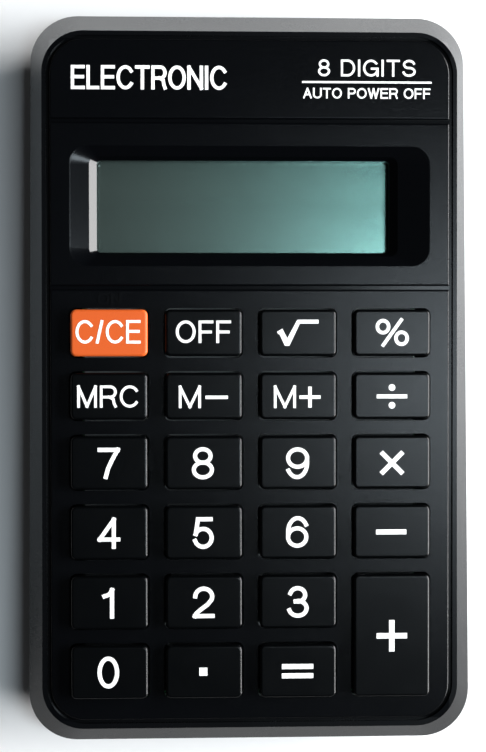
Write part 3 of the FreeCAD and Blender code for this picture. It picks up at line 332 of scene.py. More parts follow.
def foot_rubber():
    """Black rubber with a dusty, slightly pitted surface."""
    finish = Finish("foot_rubber")
    dust = finish.noise(1.2 * MM, detail=5.0)
    pits = finish.pits(0.35 * MM)
    tone = finish.mix(dust, (0.012, 0.012, 0.012, 1), (0.035, 0.034, 0.032, 1))
    return finish.surface(Base_Color=tone, Roughness=0.72 + 0.15 * dust, Normal=finish.bump(pits, 0.02 * MM))


def screw_steel():
    """Zinc-plated steel, turned, with fine streaks and a yellowish cast in places."""
    finish = Finish("screw_steel")
    streaks = finish.noise(0.12 * MM, detail=2.0, stretch=(1.0, 1.0, 0.15))
    cast = finish.noise(0.9 * MM, detail=3.0)
    tone = finish.mix(cast, (0.55, 0.55, 0.56, 1), (0.66, 0.61, 0.50, 1))
    return finish.surface(Base_Color=tone, Metallic=1.0, Roughness=0.24 + 0.16 * streaks,
                          Normal=finish.bump(streaks, 0.006 * MM))


# ---------------------------------------------------------------- finishes of the display
def display_film(look):
    """The polarising film over the liquid-crystal cell: grey-green, with a soft metallic sheen, and a
    painted sheen that shifts its colour from dull grey-green at the left end to brighter green at the right
    end, towards the lamps.
    """
    finish = Finish("display_film")
    u = finish.along(ACROSS)
    low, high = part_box("lcd_front_polariser")
    # Painted sheen: the film's colour runs from its dull colour at the left to its bright colour at the
    # right, as if lit by the lamps at the right.
    sheen = finish.rise(u, low.x, high.x)
    fibre = finish.noise(0.5 * MM, detail=3.0, stretch=(1.0, 2.0, 1.0))
    cloud = finish.noise(6 * MM, detail=2.0)
    painted_sheen_tone = finish.mix(sheen, look.display_without_sheen, look.display)
    tone = finish.mix(fibre * 0.15 + cloud * 0.1, painted_sheen_tone, shade(look.display_without_sheen, 0.6))
    return finish.surface(Base_Color=tone, Metallic=0.92,
                          Roughness=0.22 + 0.04 * fibre, Normal=finish.bump(fibre, 0.003 * MM))


def display_lens():
    """The clear window over the display."""
    finish = Finish("display_lens")
    haze = finish.noise(2 * MM, detail=2.0)
    edge = finish.node("ShaderNodeFresnel", values={"IOR": LENS_IOR})
    return finish.surface(Base_Color=(0.01, 0.012, 0.012, 1), Roughness=0.06 + 0.03 * haze,
                          Alpha=0.04 + 0.5 * edge, IOR=LENS_IOR)


def display_glass(name, colour, alpha):
    """Thin glass with a faint tint and a ground rim."""
    finish = Finish(name)
    smear = finish.noise(3 * MM, detail=3.0)
    return finish.surface(Base_Color=finish.mix(smear, colour, shade(colour, 0.85)),
                          Roughness=0.05 + 0.06 * smear, Alpha=alpha, IOR=GLASS_IOR)


def reflector_foil():
    """The silvery foil behind the display."""
    finish = Finish("reflector_foil")
    crinkle = finish.noise(0.8 * MM, detail=4.0)
    tone = finish.mix(crinkle, (0.42, 0.44, 0.42, 1), (0.55, 0.56, 0.53, 1))
    return finish.surface(Base_Color=tone, Metallic=0.8, Roughness=0.38 + 0.1 * crinkle,
                          Normal=finish.bump(crinkle, 0.01 * MM))


def ribbon_film():
    """Amber film with the dark conductors that run along it."""
    finish = Finish("ribbon_film")
    line = finish.stripes(finish.along(ACROSS), 1.0 * MM)
    track = finish.rise(line, 0.1, 0.4)
    worn = finish.noise(1.5 * MM, detail=3.0)
    tone = finish.mix(track, (0.30, 0.14, 0.03, 1), (0.05, 0.04, 0.035, 1))
    return finish.surface(Base_Color=finish.mix(worn * 0.25, tone, (0.20, 0.11, 0.04, 1)),
                          Roughness=0.30 + 0.2 * worn, Normal=finish.bump(track, 0.02 * MM))


# ---------------------------------------------------------------- finishes of the inner parts
def board_lacquer(look):
    """Green lacquer over copper tracks, with bare fibreglass at the cut edges."""
    finish = Finish("board_lacquer")
    low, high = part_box("circuit_board")
    u = finish.along(ACROSS)
    v = finish.along(ALONG)
    bend = finish.noise(7 * MM, detail=0.0)
    run = finish.stripes(u + bend * 6 * MM, 1.3 * MM)
    cross = finish.stripes(v + bend * 5 * MM, 1.7 * MM)
    patch = finish.rise(finish.noise(11 * MM, detail=1.0), 0.48, 0.52)
    copper = finish.rise(run, 0.35, 0.55) * patch + finish.rise(cross, 0.4, 0.6) * (1 - patch)
    edge = finish.rise(abs(u), high.x - 0.02 * MM, high.x - 0.005 * MM)
    lacquer = finish.mix(copper, look.board, shade(look.board, 1.9))
    weave = finish.noise(0.25 * MM, detail=2.0)
    tone = finish.mix(edge, lacquer, (0.42, 0.36, 0.18, 1))
    return finish.surface(Base_Color=tone, Roughness=0.28 + 0.35 * edge + 0.08 * weave,
                          Normal=finish.bump(copper + weave * 0.2, 0.03 * MM), Coat_Weight=0.3 - 0.3 * edge)


def soft_rubber(name, colour, roughness, speck):
    """Moulded silicone or carbon rubber with a fine bloom."""
    finish = Finish(name)
    bloom = finish.noise(speck, detail=4.0)
    tone = finish.mix(bloom, shade(colour, 0.85), colour)
    return finish.surface(Base_Color=tone, Roughness=roughness + 0.1 * bloom,
                          Normal=finish.bump(bloom, 0.01 * MM))


def carbon_fingers():
    """Interlocked carbon fingers on each contact pad."""
    finish = Finish("carbon_fingers")
    line = finish.stripes(finish.along(ACROSS), 0.8 * MM)
    finger = finish.rise(line, -0.2, 0.1)
    dust = finish.noise(0.3 * MM, detail=3.0)
    tone = finish.mix(finger, (0.015, 0.07, 0.03, 1), (0.02, 0.02, 0.021, 1))
    return finish.surface(Base_Color=tone, Roughness=0.45 + 0.25 * dust,
                          Normal=finish.bump(finger + dust * 0.2, 0.02 * MM))


def epoxy_drop():
    """The black drop that covers the chip, glossy and slightly uneven."""
    finish = Finish("epoxy_drop")
    wave = finish.noise(2.2 * MM, detail=1.0)
    fleck = finish.pits(0.5 * MM)
    tone = finish.mix(fleck, (0.006, 0.006, 0.007, 1), (0.014, 0.013, 0.013, 1))
    return finish.surface(Base_Color=tone, Roughness=0.10 + 0.1 * wave, Coat_Weight=0.5,
                          Normal=finish.bump(wave, 0.25 * MM))


def capacitor_sleeve():
    """Shrunk blue sleeve with a pale stripe on one side and a bare aluminium top."""
    finish = Finish("capacitor_sleeve")
    low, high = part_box("electrolytic_capacitor")
    centre = (low + high) / 2
    half = (high.x - low.x) / 2
    rim = finish.rise(abs(finish.along(ACROSS, centre.x)), half - 0.5 * MM, half - 0.3 * MM)
    side = finish.along((0, 1, 0), centre.y)
    stripe = finish.rise(side, 1.2 * MM, 1.35 * MM)
    scuff = finish.noise(0.7 * MM, detail=3.0)
    sleeve = finish.mix(stripe, (0.010, 0.018, 0.075, 1), (0.45, 0.47, 0.50, 1))
    tone = finish.mix(rim, sleeve, (0.62, 0.62, 0.63, 1))
    return finish.surface(Base_Color=tone, Metallic=rim, Roughness=0.24 + 0.12 * scuff,
                          Normal=finish.bump(scuff, 0.008 * MM))


def dipped_ceramic():
    """Tan dip of the small capacitor, with its tinned legs."""
    finish = Finish("dipped_ceramic")
    low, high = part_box("ceramic_capacitor")
    leg = finish.rise(finish.along((0, 0, 1)), high.z - 1.0 * MM, high.z - 0.8 * MM)
    speck = finish.noise(0.4 * MM, detail=4.0)
    dip = finish.mix(speck, (0.45, 0.20, 0.05, 1), (0.58, 0.30, 0.09, 1))
    return finish.surface(Base_Color=finish.mix(leg, dip, TINNED), Metallic=leg,
                          Roughness=0.35 + 0.15 * speck, Normal=finish.bump(speck, 0.02 * MM))


def banded_resistor():
    """Beige lacquer with four colour bands, and tinned legs."""
    finish = Finish("banded_resistor")
    low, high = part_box("resistor")
    centre = (low + high) / 2
    half, leg_start = 2.2 * MM, 2.4 * MM
    place = finish.along(ACROSS, centre.x)
    share = finish.node("ShaderNodeMapRange", {}, {0: place, 1: -half, 2: half})
    beige, brown, black, red, gold = ((0.50, 0.36, 0.20, 1), (0.10, 0.03, 0.01, 1), (0.01, 0.01, 0.01, 1),
                                      (0.45, 0.03, 0.02, 1), (0.45, 0.30, 0.06, 1))
    stops = [(0.0, beige), (0.16, brown), (0.26, beige), (0.36, black), (0.46, beige), (0.56, red),
             (0.66, beige), (0.80, gold), (0.90, beige)]
    bands = finish.node("ShaderNodeValToRGB", {"stops": stops}, {0: share})
    legs = finish.rise(abs(place), half, leg_start)
    drip = finish.noise(0.6 * MM, detail=3.0)
    return finish.surface(Base_Color=finish.mix(legs, bands, TINNED), Metallic=legs,
                          Roughness=0.22 + 0.15 * drip, Normal=finish.bump(drip, 0.02 * MM))


def cell_wrap(look):
    """The battery cell's printed sleeve between bare metal ends, with a plain pale ring."""
    finish = Finish("cell_wrap")
    low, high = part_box("battery_cell")
    centre = (low + high) / 2
    place = finish.along(ACROSS, centre.x)
    half = (high.x - low.x) / 2
    bare_end, blur = 1.5 * MM, 0.1 * MM
    ring_near, ring_far = half * 0.45, half * 0.62
    bare = finish.rise(abs(place), half - bare_end, half - bare_end + blur)
    ring = finish.rise(place, ring_near, ring_near + blur)
    ring_end = finish.rise(place, ring_far, ring_far + blur)
    scuff = finish.noise(0.9 * MM, detail=4.0, stretch=(0.3, 1.0, 1.0))
    sleeve = finish.mix(ring - ring_end, look.cell, (0.55, 0.56, 0.56, 1))
    worn = finish.mix(scuff * 0.3, sleeve, shade(look.cell, 2.5))
    return finish.surface(Base_Color=finish.mix(bare, worn, (0.66, 0.65, 0.62, 1)), Metallic=bare,
                          Roughness=0.22 + 0.18 * scuff, Normal=finish.bump(scuff, 0.01 * MM))


def contact_nickel():
    """Nickel-plated spring steel with rolling marks."""
    finish = Finish("contact_nickel")
    rolled = finish.noise(0.2 * MM, detail=3.0, stretch=(1.0, 0.2, 1.0))
    stain = finish.noise(1.6 * MM, detail=3.0)
    tone = finish.mix(stain, (0.72, 0.70, 0.65, 1), (0.58, 0.55, 0.48, 1))
    return finish.surface(Base_Color=tone, Metallic=1.0, Roughness=0.18 + 0.2 * rolled,
                          Normal=finish.bump(rolled, 0.006 * MM))


def wire_sleeve(name, colour):
    """Smooth insulation with faint drawing lines and a little dirt."""
    finish = Finish(name)
    drawn = finish.noise(0.25 * MM, detail=2.0, stretch=(0.2, 1.0, 1.0))
    dirt = finish.noise(2 * MM, detail=4.0)
    return finish.surface(Base_Color=finish.mix(dirt, colour, shade(colour, 0.6)),
                          Roughness=0.28 + 0.15 * drawn, Normal=finish.bump(drawn, 0.01 * MM))


def solder():
    """Bright solder with a frosted skin."""
    finish = Finish("solder")
    frost = finish.noise(0.15 * MM, detail=4.0)
    tone = finish.mix(frost, (0.52, 0.53, 0.55, 1), (0.70, 0.70, 0.70, 1))
    return finish.surface(Base_Color=tone, Metallic=1.0, Roughness=0.22 + 0.22 * frost,
                          Normal=finish.bump(frost, 0.01 * MM))


# ---------------------------------------------------------------- printed and moulded marks
def bar(width, height, thick):
    """A plain bar."""
    x, y = width / 2, height / 2
    return [[(-x, -y), (x, -y), (x, y), (-x, y)]]


def bars(width, height, thick):
    """Two level bars."""
    lift = (height - thick) / 2
    return [[(x, y + side * lift) for x, y in bar(width, thick, thick)[0]] for side in (-1, 1)]


def cross(width, height, thick):
    """An upright cross."""
    x, y, t = width / 2, height / 2, thick / 2
    return [[(-t, -y), (t, -y), (t, -t), (x, -t), (x, t), (t, t), (t, y), (-t, y), (-t, t), (-x, t),
             (-x, -t), (-t, -t)]]


def saltire(width, height, thick):
    """A cross turned by an eighth of a turn."""
    arm = width * math.sqrt(2) - thick
    turn = math.sqrt(0.5)
    return [[((x - y) * turn, (x + y) * turn) for x, y in cross(arm, arm, thick)[0]]]


def division(width, height, thick):
    """A bar with a dot above and a dot below."""
    angles = [math.tau * step / DOT_CORNERS for step in range(DOT_CORNERS)]
    lift = height / 2 - DOT_RADIUS
    dots = [[(DOT_RADIUS * math.cos(a), side * lift + DOT_RADIUS * math.sin(a)) for a in angles]
            for side in (-1, 1)]
    return bar(width, thick, thick) + dots


def root(width, height, thick):
    """A square-root sign, drawn as one bent stroke."""
    x, y, t = width / 2, height / 2, thick
    return [[(-x, y * 0.08), (-x * 0.74, y * 0.32), (-x * 0.50, -y * 0.42), (-x * 0.02, y), (x, y),
             (x, y - t), (x * 0.10, y - t), (-x * 0.40, -y), (-x * 0.62, -y), (-x * 0.88, -y * 0.12),
             (-x * 0.94, -y * 0.10)]]


def arrow(width, height, thick):
    """A solid arrow head."""
    x, y = width / 2, height / 2
    return [[(-x, -y), (x, -y), (0, y)]]


def frame_line(width, height, thick):
    """A hollow rectangle, made of four bars that meet at the corners."""
    x, y, t = width / 2, height / 2, thick
    return [[(-x, -y), (x, -y), (x, -y + t), (-x, -y + t)], [(-x, y - t), (x, y - t), (x, y), (-x, y)],
            [(-x, -y + t), (-x + t, -y + t), (-x + t, y - t), (-x, y - t)],
            [(x - t, -y + t), (x, -y + t), (x, y - t), (x - t, y - t)]]


DOT_RADIUS = 0.52
DOT_CORNERS = 28
SIGNS = {"bar": bar, "bars": bars, "cross": cross, "saltire": saltire, "division": division, "root": root,
         "arrow": arrow, "frame": frame_line}

# Each mark is a sign's name or some lettering, its middle across and along, its width and height, and
# its stroke's thickness, in millimetres.
KEY_MARKS = {
    "key_clear": [("C/CE", -21.85, 7.50, 9.92, 3.59, 0.44)],
    "key_off": [("OFF", -7.28, 7.50, 8.46, 3.46, 0.44)],
    "key_root": [("root", 7.20, 7.34, 6.40, 4.00, 0.60)],
    "key_percent": [("%", 21.78, 7.38, 5.16, 4.40, 0.54)],
    "key_memory_recall": [("MRC", -21.90, -2.40, 9.38, 3.41, 0.42)],
    "key_memory_minus": [("M", -9.37, -2.47, 3.40, 3.49, 0.42), ("bar", -5.26, -2.55, 3.46, 0.52, 0.52)],
    "key_memory_plus": [("M", 5.22, -2.49, 3.40, 3.50, 0.42), ("cross", 9.08, -2.55, 3.26, 3.24, 0.55)],
    "key_divide": [("division", 21.74, -2.47, 4.72, 3.78, 0.62)],
    "key_7": [("7", -21.81, -12.64, 3.41, 4.79, 0.64)],
    "key_8": [("8", -7.40, -12.67, 3.39, 4.94, 0.62)],
    "key_9": [("9", 7.17, -12.72, 3.55, 4.89, 0.62)],
    "key_multiply": [("saltire", 21.76, -12.72, 3.86, 3.88, 0.72)],
    "key_4": [("4", -21.80, -23.36, 3.46, 4.79, 0.62)],
    "key_5": [("5", -7.37, -23.40, 3.26, 4.89, 0.64)],
    "key_6": [("6", 7.11, -23.31, 3.44, 4.88, 0.62)],
    "key_minus": [("bar", 21.64, -23.39, 4.70, 0.78, 0.78)],
    "key_1": [("1", -21.94, -34.14, 1.81, 4.71, 0.64)],
    "key_2": [("2", -7.29, -34.08, 3.34, 4.86, 0.64)],
    "key_3": [("3", 7.20, -34.12, 3.34, 4.90, 0.64)],
    "key_plus": [("cross", 21.75, -39.47, 4.74, 4.88, 0.85)],
    "key_0": [("0", -21.95, -44.78, 3.32, 4.93, 0.64)],
    "key_point": [("bar", -7.37, -44.78, 1.24, 1.25, 1.24)],
    "key_equals": [("bars", 7.16, -44.82, 4.86, 2.21, 0.78)],
}
HEADER_MARKS = [("ELECTRONIC", -15.55, 46.51, 23.94, 3.70, 0.52),
                ("8 DIGITS", 17.99, 48.14, 15.12, 2.60, 0.34),
                ("bar", 18.00, 45.95, 20.06, 0.30, 0.30),
                ("AUTO POWER OFF", 17.99, 44.25, 19.72, 1.64, 0.26)]
POWER_MARKS = [("ON", -21.72, 12.58, 3.60, 1.80, 0.28)]
COVER_MARKS = [("arrow", 13.5, 0.0, 3.4, 2.8, 0.0), ("frame", -14.5, -0.2, 7.0, 3.2, 0.3),
               ("bar", -10.65, -0.2, 0.7, 1.4, 0.7), ("cross", -12.8, -0.2, 1.3, 1.3, 0.28),
               ("bar", -16.2, -0.2, 1.3, 0.28, 0.28)]


def arc(x, y, half_width, half_height, start, end, steps=14):
    """Points on part of an oval, from one angle to another in degrees."""
    angles = [math.radians(start + (end - start) * step / steps) for step in range(steps + 1)]
    return [(x + half_width * math.cos(a), y + half_height * math.sin(a)) for a in angles]


def turned(strokes):
    """The same strokes, turned by half a turn."""
    return [[(1 - x, 1 - y) for x, y in stroke] for stroke in strokes]


OVAL = arc(0.5, 0.5, 0.5, 0.5, 90, 450, 32)
BOWL = [(0, 0.47), (0, 1), (0.58, 1), *arc(0.62, 0.735, 0.38, 0.265, 90, -90), (0, 0.47)]
SIX = [arc(0.5, 0.315, 0.5, 0.315, 180, 540, 28),
       [(0, 0.315), (0, 0.45), *arc(0.53, 0.5, 0.53, 0.5, 175, 32, 16)]]
# The middle lines of each letter's strokes, in a box one unit wide and high, and the letter's width
# as a share of its height.
LETTERS = {
    "0": (0.62, [OVAL]),
    "1": (0.34, [[(0, 0.77), *arc(0.0, 1.05, 0.96, 0.27, -85, -25, 6), (1, 1)], [(1, 1), (1, 0)]]),
    "2": (0.62, [[*arc(0.5, 0.71, 0.48, 0.29, 178, -25, 16), (0.72, 0.42), (0.30, 0.22), (0.08, 0.10),
                  (0, 0)], [(0, 0), (1, 0)]]),
    "3": (0.62, [[*arc(0.49, 0.755, 0.43, 0.245, 165, -80, 16), (0.38, 0.52)],
                 [(0.38, 0.52), *arc(0.5, 0.27, 0.5, 0.27, 85, -165, 18)]]),
    "4": (0.64, [[(0.76, 0), (0.76, 1)], [(0.76, 1), (0, 0.27)], [(0, 0.27), (1, 0.27)]]),
    "5": (0.62, [[(0.94, 1), (0.20, 1), (0.07, 0.47)],
                 [(0.07, 0.47), *arc(0.5, 0.325, 0.5, 0.325, 138, -160, 20)]]),
    "6": (0.62, SIX),
    "7": (0.62, [[(0, 1), (1, 1)], [(1, 1), (0.68, 0.62), (0.46, 0.30), (0.34, 0)]]),
    "8": (0.62, [arc(0.5, 0.76, 0.43, 0.24, 0, 360, 26), arc(0.5, 0.265, 0.5, 0.265, 0, 360, 28)]),
    "9": (0.62, turned(SIX)),
    "A": (0.76, [[(0, 0), (0.5, 1)], [(0.5, 1), (1, 0)], [(0.19, 0.34), (0.81, 0.34)]]),
    "C": (0.84, [arc(0.53, 0.5, 0.53, 0.5, 38, 322, 26)]),
    "D": (0.76, [[(0, 0), (0, 1), (0.42, 1), *arc(0.45, 0.5, 0.55, 0.5, 90, -90, 18), (0, 0)]]),
    "E": (0.66, [[(1, 1), (0, 1), (0, 0), (1, 0)], [(0, 0.52), (0.93, 0.52)]]),
    "F": (0.62, [[(1, 1), (0, 1), (0, 0)], [(0, 0.49), (0.88, 0.49)]]),
    "G": (0.84, [[*arc(0.51, 0.5, 0.51, 0.5, 40, 340, 24), (1, 0.46), (0.58, 0.46)], [(1, 0.46), (1, 0)]]),
    "I": (0.04, [[(0.5, 0), (0.5, 1)]]),
    "L": (0.58, [[(0, 1), (0, 0), (1, 0)]]),
    "M": (0.88, [[(0, 0), (0, 1)], [(0, 1), (0.5, 0)], [(0.5, 0), (1, 1)], [(1, 1), (1, 0)]]),
    "N": (0.76, [[(0, 0), (0, 1)], [(0, 1), (1, 0)], [(1, 0), (1, 1)]]),
    "O": (0.88, [OVAL]),
    "P": (0.68, [BOWL, [(0, 0.47), (0, 0)]]),
    "R": (0.74, [BOWL, [(0, 0.47), (0, 0)], [(0.55, 0.47), (0.84, 0.38), (0.92, 0.12), (1, 0)]]),
    "S": (0.70, [[*arc(0.5, 0.755, 0.45, 0.245, 15, 250, 16), *arc(0.5, 0.265, 0.5, 0.265, 72, -168, 18)]]),
    "T": (0.70, [[(0, 1), (1, 1)], [(0.5, 1), (0.5, 0)]]),
    "U": (0.76, [[(0, 1), *arc(0.5, 0.33, 0.5, 0.33, 180, 360, 16), (1, 1)]]),
    "W": (1.06, [[(0, 1), (0.27, 0)], [(0.27, 0), (0.5, 1)], [(0.5, 1), (0.73, 0)], [(0.73, 0), (1, 1)]]),
    "/": (0.26, [[(0, 0), (1, 1)]]),
    "%": (1.06, [arc(0.19, 0.73, 0.19, 0.24, 0, 360, 22), arc(0.81, 0.27, 0.19, 0.24, 0, 360, 22),
                 [(0.20, 0), (0.80, 1)]]),
    " ": (0.22, []),
}
LETTER_GAP = 0.30
SHORTEST_STEP = 0.01
CLOSED_WITHIN = 0.02
LONGEST_MITRE = 1.35
SHARPEST_BEND = 0.3
STROKE_LIFT = 0.04
STROKE_LEVELS = 4


def lettering(text, width, height, thick):
    """The middle lines of a line of lettering, in millimetres about its middle."""
    shares = [LETTERS[letter][0] for letter in text]
    gap = LETTER_GAP if len(text) > 1 else 0.0
    scale = (width - thick) / (sum(shares) + gap * (len(text) - 1))
    start = (thick - width) / 2
    tall = height - thick
    lines = []
    for letter, share in zip(text, shares):
        for stroke in LETTERS[letter][1]:
            lines.append([(start + x * share * scale, (y - 0.5) * tall) for x, y in stroke])
        start += (share + gap) * scale
    return lines


def ribbon(line, thick):
    """The outline of a stroke along a line, with square ends and mitred bends."""
    path = [Vector(point) for point in line]
    path = [path[0]] + [b for a, b in zip(path, path[1:]) if (b - a).length > SHORTEST_STEP]
    closed = (path[0] - path[-1]).length < CLOSED_WITHIN
    if closed:
        path = path[:-1]
    count = len(path)
    steps = [(path[(i + 1) % count] - path[i]).normalized() for i in range(count if closed else count - 1)]
    if not closed:
        path[0] = path[0] - steps[0] * (thick / 2)
        path[-1] = path[-1] + steps[-1] * (thick / 2)
    left, right = [], []
    for i, point in enumerate(path):
        before = steps[i - 1] if closed or i else steps[0]
        after = steps[i] if closed or i < count - 1 else steps[-1]
        lean = (before + after).normalized()
        mitre = min(LONGEST_MITRE, 1 / max(SHARPEST_BEND, lean.dot(after)))
        out = Vector((-lean.y, lean.x)) * mitre * (thick / 2)
        left.append(point + out)
        right.append(point - out)
    return left, right, closed


def add_stroke(work, line, u, v, thick, top):
    """Adds one solid stroke of a letter to a mesh in the making."""
    left, right, closed = ribbon(line, thick)
    rings = [[work.verts.new((u + p.x, v + p.y, z)) for p in side]
             for side in (left, right) for z in (0.0, top)]
    left_low, left_high, right_low, right_high = rings
    last = len(left) if closed else len(left) - 1
    for i in range(last):
        j = (i + 1) % len(left)
        work.faces.new([left_high[i], right_high[i], right_high[j], left_high[j]])
        work.faces.new([left_low[j], right_low[j], right_low[i], left_low[i]])
        work.faces.new([left_low[i], left_high[i], left_high[j], left_low[j]])
        work.faces.new([right_low[j], right_high[j], right_high[i], right_low[i]])
    if not closed:
        work.faces.new([left_low[0], right_low[0], right_high[0], left_high[0]])
        work.faces.new([left_high[-1], right_high[-1], right_low[-1], left_low[-1]])


def add_sign(work, outline, u, v):
    """Adds one solid sign, one unit thick, to a mesh in the making."""
    low = [work.verts.new((u + x, v + y, 0.0)) for x, y in outline]
    high = [work.verts.new((u + x, v + y, 1.0)) for x, y in outline]
    work.faces.new(high)
    work.faces.new(list(reversed(low)))
    for first in range(len(outline)):
        second = (first + 1) % len(outline)
        work.faces.new([low[first], low[second], high[second], high[first]])


def make_marks(name, marks, place, level, thick, material, body):
    """One piece that carries some marks, standing on a surface at a level and riding on a body."""
    work = bmesh.new()
    for shape, u, v, width, height, stroke in marks:
        if shape in SIGNS:
            for outline in SIGNS[shape](width, height, stroke):
                add_sign(work, outline, u, v)
        else:
            for order, line in enumerate(lettering(shape, width, height, stroke)):
                add_stroke(work, line, u, v, stroke, 1.0 + STROKE_LIFT * (order % STROKE_LEVELS))
    for corner in work.verts:
        u, v, share = corner.co
        corner.co = place(u * MM, v * MM, level + share * thick)
    bmesh.ops.recalc_face_normals(work, faces=work.faces)
    mesh = bpy.data.meshes.new(name)
    work.to_mesh(mesh)
    work.free()
    mesh.materials.append(material)
    piece = bpy.data.objects.new(name, mesh)
    bpy.context.scene.collection.objects.link(piece)
    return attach(piece, body)


# ---------------------------------------------------------------- repeated joints on the board
JOINT_SEGMENTS = 10
JOINT_RINGS = 6
JOINT_FLATNESS = 0.4
JOINT_SHARE = 0.8
JOINT_CLEAR = 1.1 * MM


def joint_tree(name):
    """A node tree that sets small solder joints in a ring."""
    tree = bpy.data.node_groups.new(name, "GeometryNodeTree")
    tree.interface.new_socket("Geometry", in_out="OUTPUT", socket_type="NodeSocketGeometry")
    for label, kind in (("Count", "NodeSocketInt"), ("Reach", "NodeSocketFloat"),
                        ("Joint radius", "NodeSocketFloat"), ("Middle", "NodeSocketVector"),
                        ("Turn", "NodeSocketVector"), ("Finish", "NodeSocketMaterial")):
        tree.interface.new_socket(label, in_out="INPUT", socket_type=kind)
    inputs = tree.nodes.new("NodeGroupInput")

    def step(kind, values=(), **wires):
        """A node with some of its inputs set and others joined to earlier outputs."""
        made = tree.nodes.new(kind)
        for label, value in values:
            made.inputs[label].default_value = value
        for label, output in wires.items():
            tree.links.new(output, made.inputs[label])
        return made.outputs[0] if made.outputs else None

    drop = step("GeometryNodeMeshUVSphere", (("Segments", JOINT_SEGMENTS), ("Rings", JOINT_RINGS)),
                Radius=inputs.outputs["Joint radius"])
    flat = step("GeometryNodeTransform", (("Scale", (1.0, 1.0, JOINT_FLATNESS)),), Geometry=drop)
    spots = step("GeometryNodeMeshCircle", Vertices=inputs.outputs["Count"], Radius=inputs.outputs["Reach"])
    placed = step("GeometryNodeInstanceOnPoints", Points=spots, Instance=flat)
    seated = step("GeometryNodeTransform", Geometry=placed, Translation=inputs.outputs["Middle"],
                  Rotation=inputs.outputs["Turn"])
    real = step("GeometryNodeRealizeInstances", Geometry=seated)
    coated = step("GeometryNodeSetMaterial", Geometry=real, Material=inputs.outputs["Finish"])
    step("NodeGroupOutput", Geometry=coated)
    return tree


def grow(name, tree, values, body):
    """The piece that a node tree makes from some values, as a plain mesh that rides on a body."""
    host = bpy.data.objects.new(name + "_host", bpy.data.meshes.new(name + "_host"))
    bpy.context.scene.collection.objects.link(host)
    modifier = host.modifiers.new(name, "NODES")
    modifier.node_group = tree
    for item in tree.interface.items_tree:
        if item.in_out == "INPUT":
            modifier[item.identifier] = values[item.name]
    seen = host.evaluated_get(bpy.context.evaluated_depsgraph_get())
    mesh = bpy.data.meshes.new_from_object(seen)
    host.modifiers.remove(modifier)
    bpy.data.objects.remove(host)
    mesh.name = name
    piece = bpy.data.objects.new(name, mesh)
    bpy.context.scene.collection.objects.link(piece)
    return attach(piece, body)


# ---------------------------------------------------------------- operators
class CALCULATOR_OT_case(bpy.types.Operator):
    """Finish both shells and the battery cover"""

    bl_idname = "calculator.case"
    bl_label = "Case"

    def execute(self, context):
        look, sizes = context.scene.calculator_colours, context.scene.calculator_sizes
        plastic = case_plastic("case_plastic", look, sizes)
        for node in ("front_housing", "rear_housing", "battery_cover"):
            dress(node, plastic)
        return {"FINISHED"}


class CALCULATOR_OT_keys(bpy.types.Operator):
    """Finish the black keys and the orange clearing key"""

    bl_idname = "calculator.keys"
    bl_label = "Keys"

    def execute(self, context):
        look, sizes = context.scene.calculator_colours, context.scene.calculator_sizes
        black = key_plastic("key_black", look.keys, sizes.key_grain, 0.20)
        orange = key_plastic("key_orange", look.clear_key, sizes.key_grain, 0.32)
        for node in KEY_MARKS:
            dress(node, orange if node == "key_clear" else black)
        return {"FINISHED"}


class CALCULATOR_OT_legends(bpy.types.Operator):
    """Print each key's legend"""

    bl_idname = "calculator.legends"
    bl_label = "Key legends"

    def execute(self, context):
        look, sizes = context.scene.calculator_colours, context.scene.calculator_sizes
        white = printed_ink("legend_ink", look.legend)
        for node, marks in KEY_MARKS.items():
            make_marks(node + "_legend", marks, on_face, top_of(node), sizes.ink_thickness, white, node)
        return {"FINISHED"}


class CALCULATOR_OT_header(bpy.types.Operator):
    """Print the header and raise the power letters"""

    bl_idname = "calculator.header"
    bl_label = "Header and power letters"

    def execute(self, context):
        look, sizes = context.scene.calculator_colours, context.scene.calculator_sizes
        white = printed_ink("header_ink", look.legend)
        make_marks("header_print", HEADER_MARKS, on_face, FACE_LEVEL, sizes.ink_thickness, white, "case")
        gloss = key_plastic("raised_letters", look.case, sizes.key_grain, 0.22)
        raised = make_marks("power_letters", POWER_MARKS, on_face, FACE_LEVEL, sizes.mark_height, gloss,
                            "case")
        return {"FINISHED"}


class CALCULATOR_OT_cover_marks(bpy.types.Operator):
    """Mould the arrow and the cell's picture on the battery cover"""

    bl_idname = "calculator.cover_marks"
    bl_label = "Battery cover marks"

    def execute(self, context):
        look, sizes = context.scene.calculator_colours, context.scene.calculator_sizes
        low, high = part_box("battery_cover")
        middle = (low.y + high.y) / 2 / MM
        marks = [(shape, u, v + middle, width, height, stroke)
                 for shape, u, v, width, height, stroke in COVER_MARKS]
        satin = key_plastic("cover_marks", look.case, sizes.key_grain, 0.30)
        piece = make_marks("cover_marks", marks, under_case, low.z, -sizes.mark_height, satin,
                           "battery_cover")
        return {"FINISHED"}


class CALCULATOR_OT_display(bpy.types.Operator):
    """Finish the display and its clear window"""

    bl_idname = "calculator.display"
    bl_label = "Display"

    def execute(self, context):
        look = context.scene.calculator_colours
        dress("lcd_front_polariser", display_film(look))
        dress("display_window", display_lens())
        glass = display_glass("display_glass", (0.55, 0.66, 0.62, 1), 0.35)
        dress("lcd_upper_glass", glass)
        dress("lcd_lower_glass", glass)
        dress("lcd_rear_reflector", reflector_foil())
        dress("lcd_ribbon", ribbon_film())
        dress("display_clip", soft_rubber("clip_plastic", (0.02, 0.02, 0.021, 1), 0.38, 0.5 * MM))
        return {"FINISHED"}


class CALCULATOR_OT_board(bpy.types.Operator):
    """Finish the circuit board and what is mounted on it"""

    bl_idname = "calculator.board"
    bl_label = "Circuit board"

    def execute(self, context):
        look = context.scene.calculator_colours
        dress("circuit_board", board_lacquer(look))
        dress("chip_cover", epoxy_drop())
        dress("contact_pads", carbon_fingers())
        dress("electrolytic_capacitor", capacitor_sleeve())
        dress("ceramic_capacitor", dipped_ceramic())
        dress("resistor", banded_resistor())
        return {"FINISHED"}


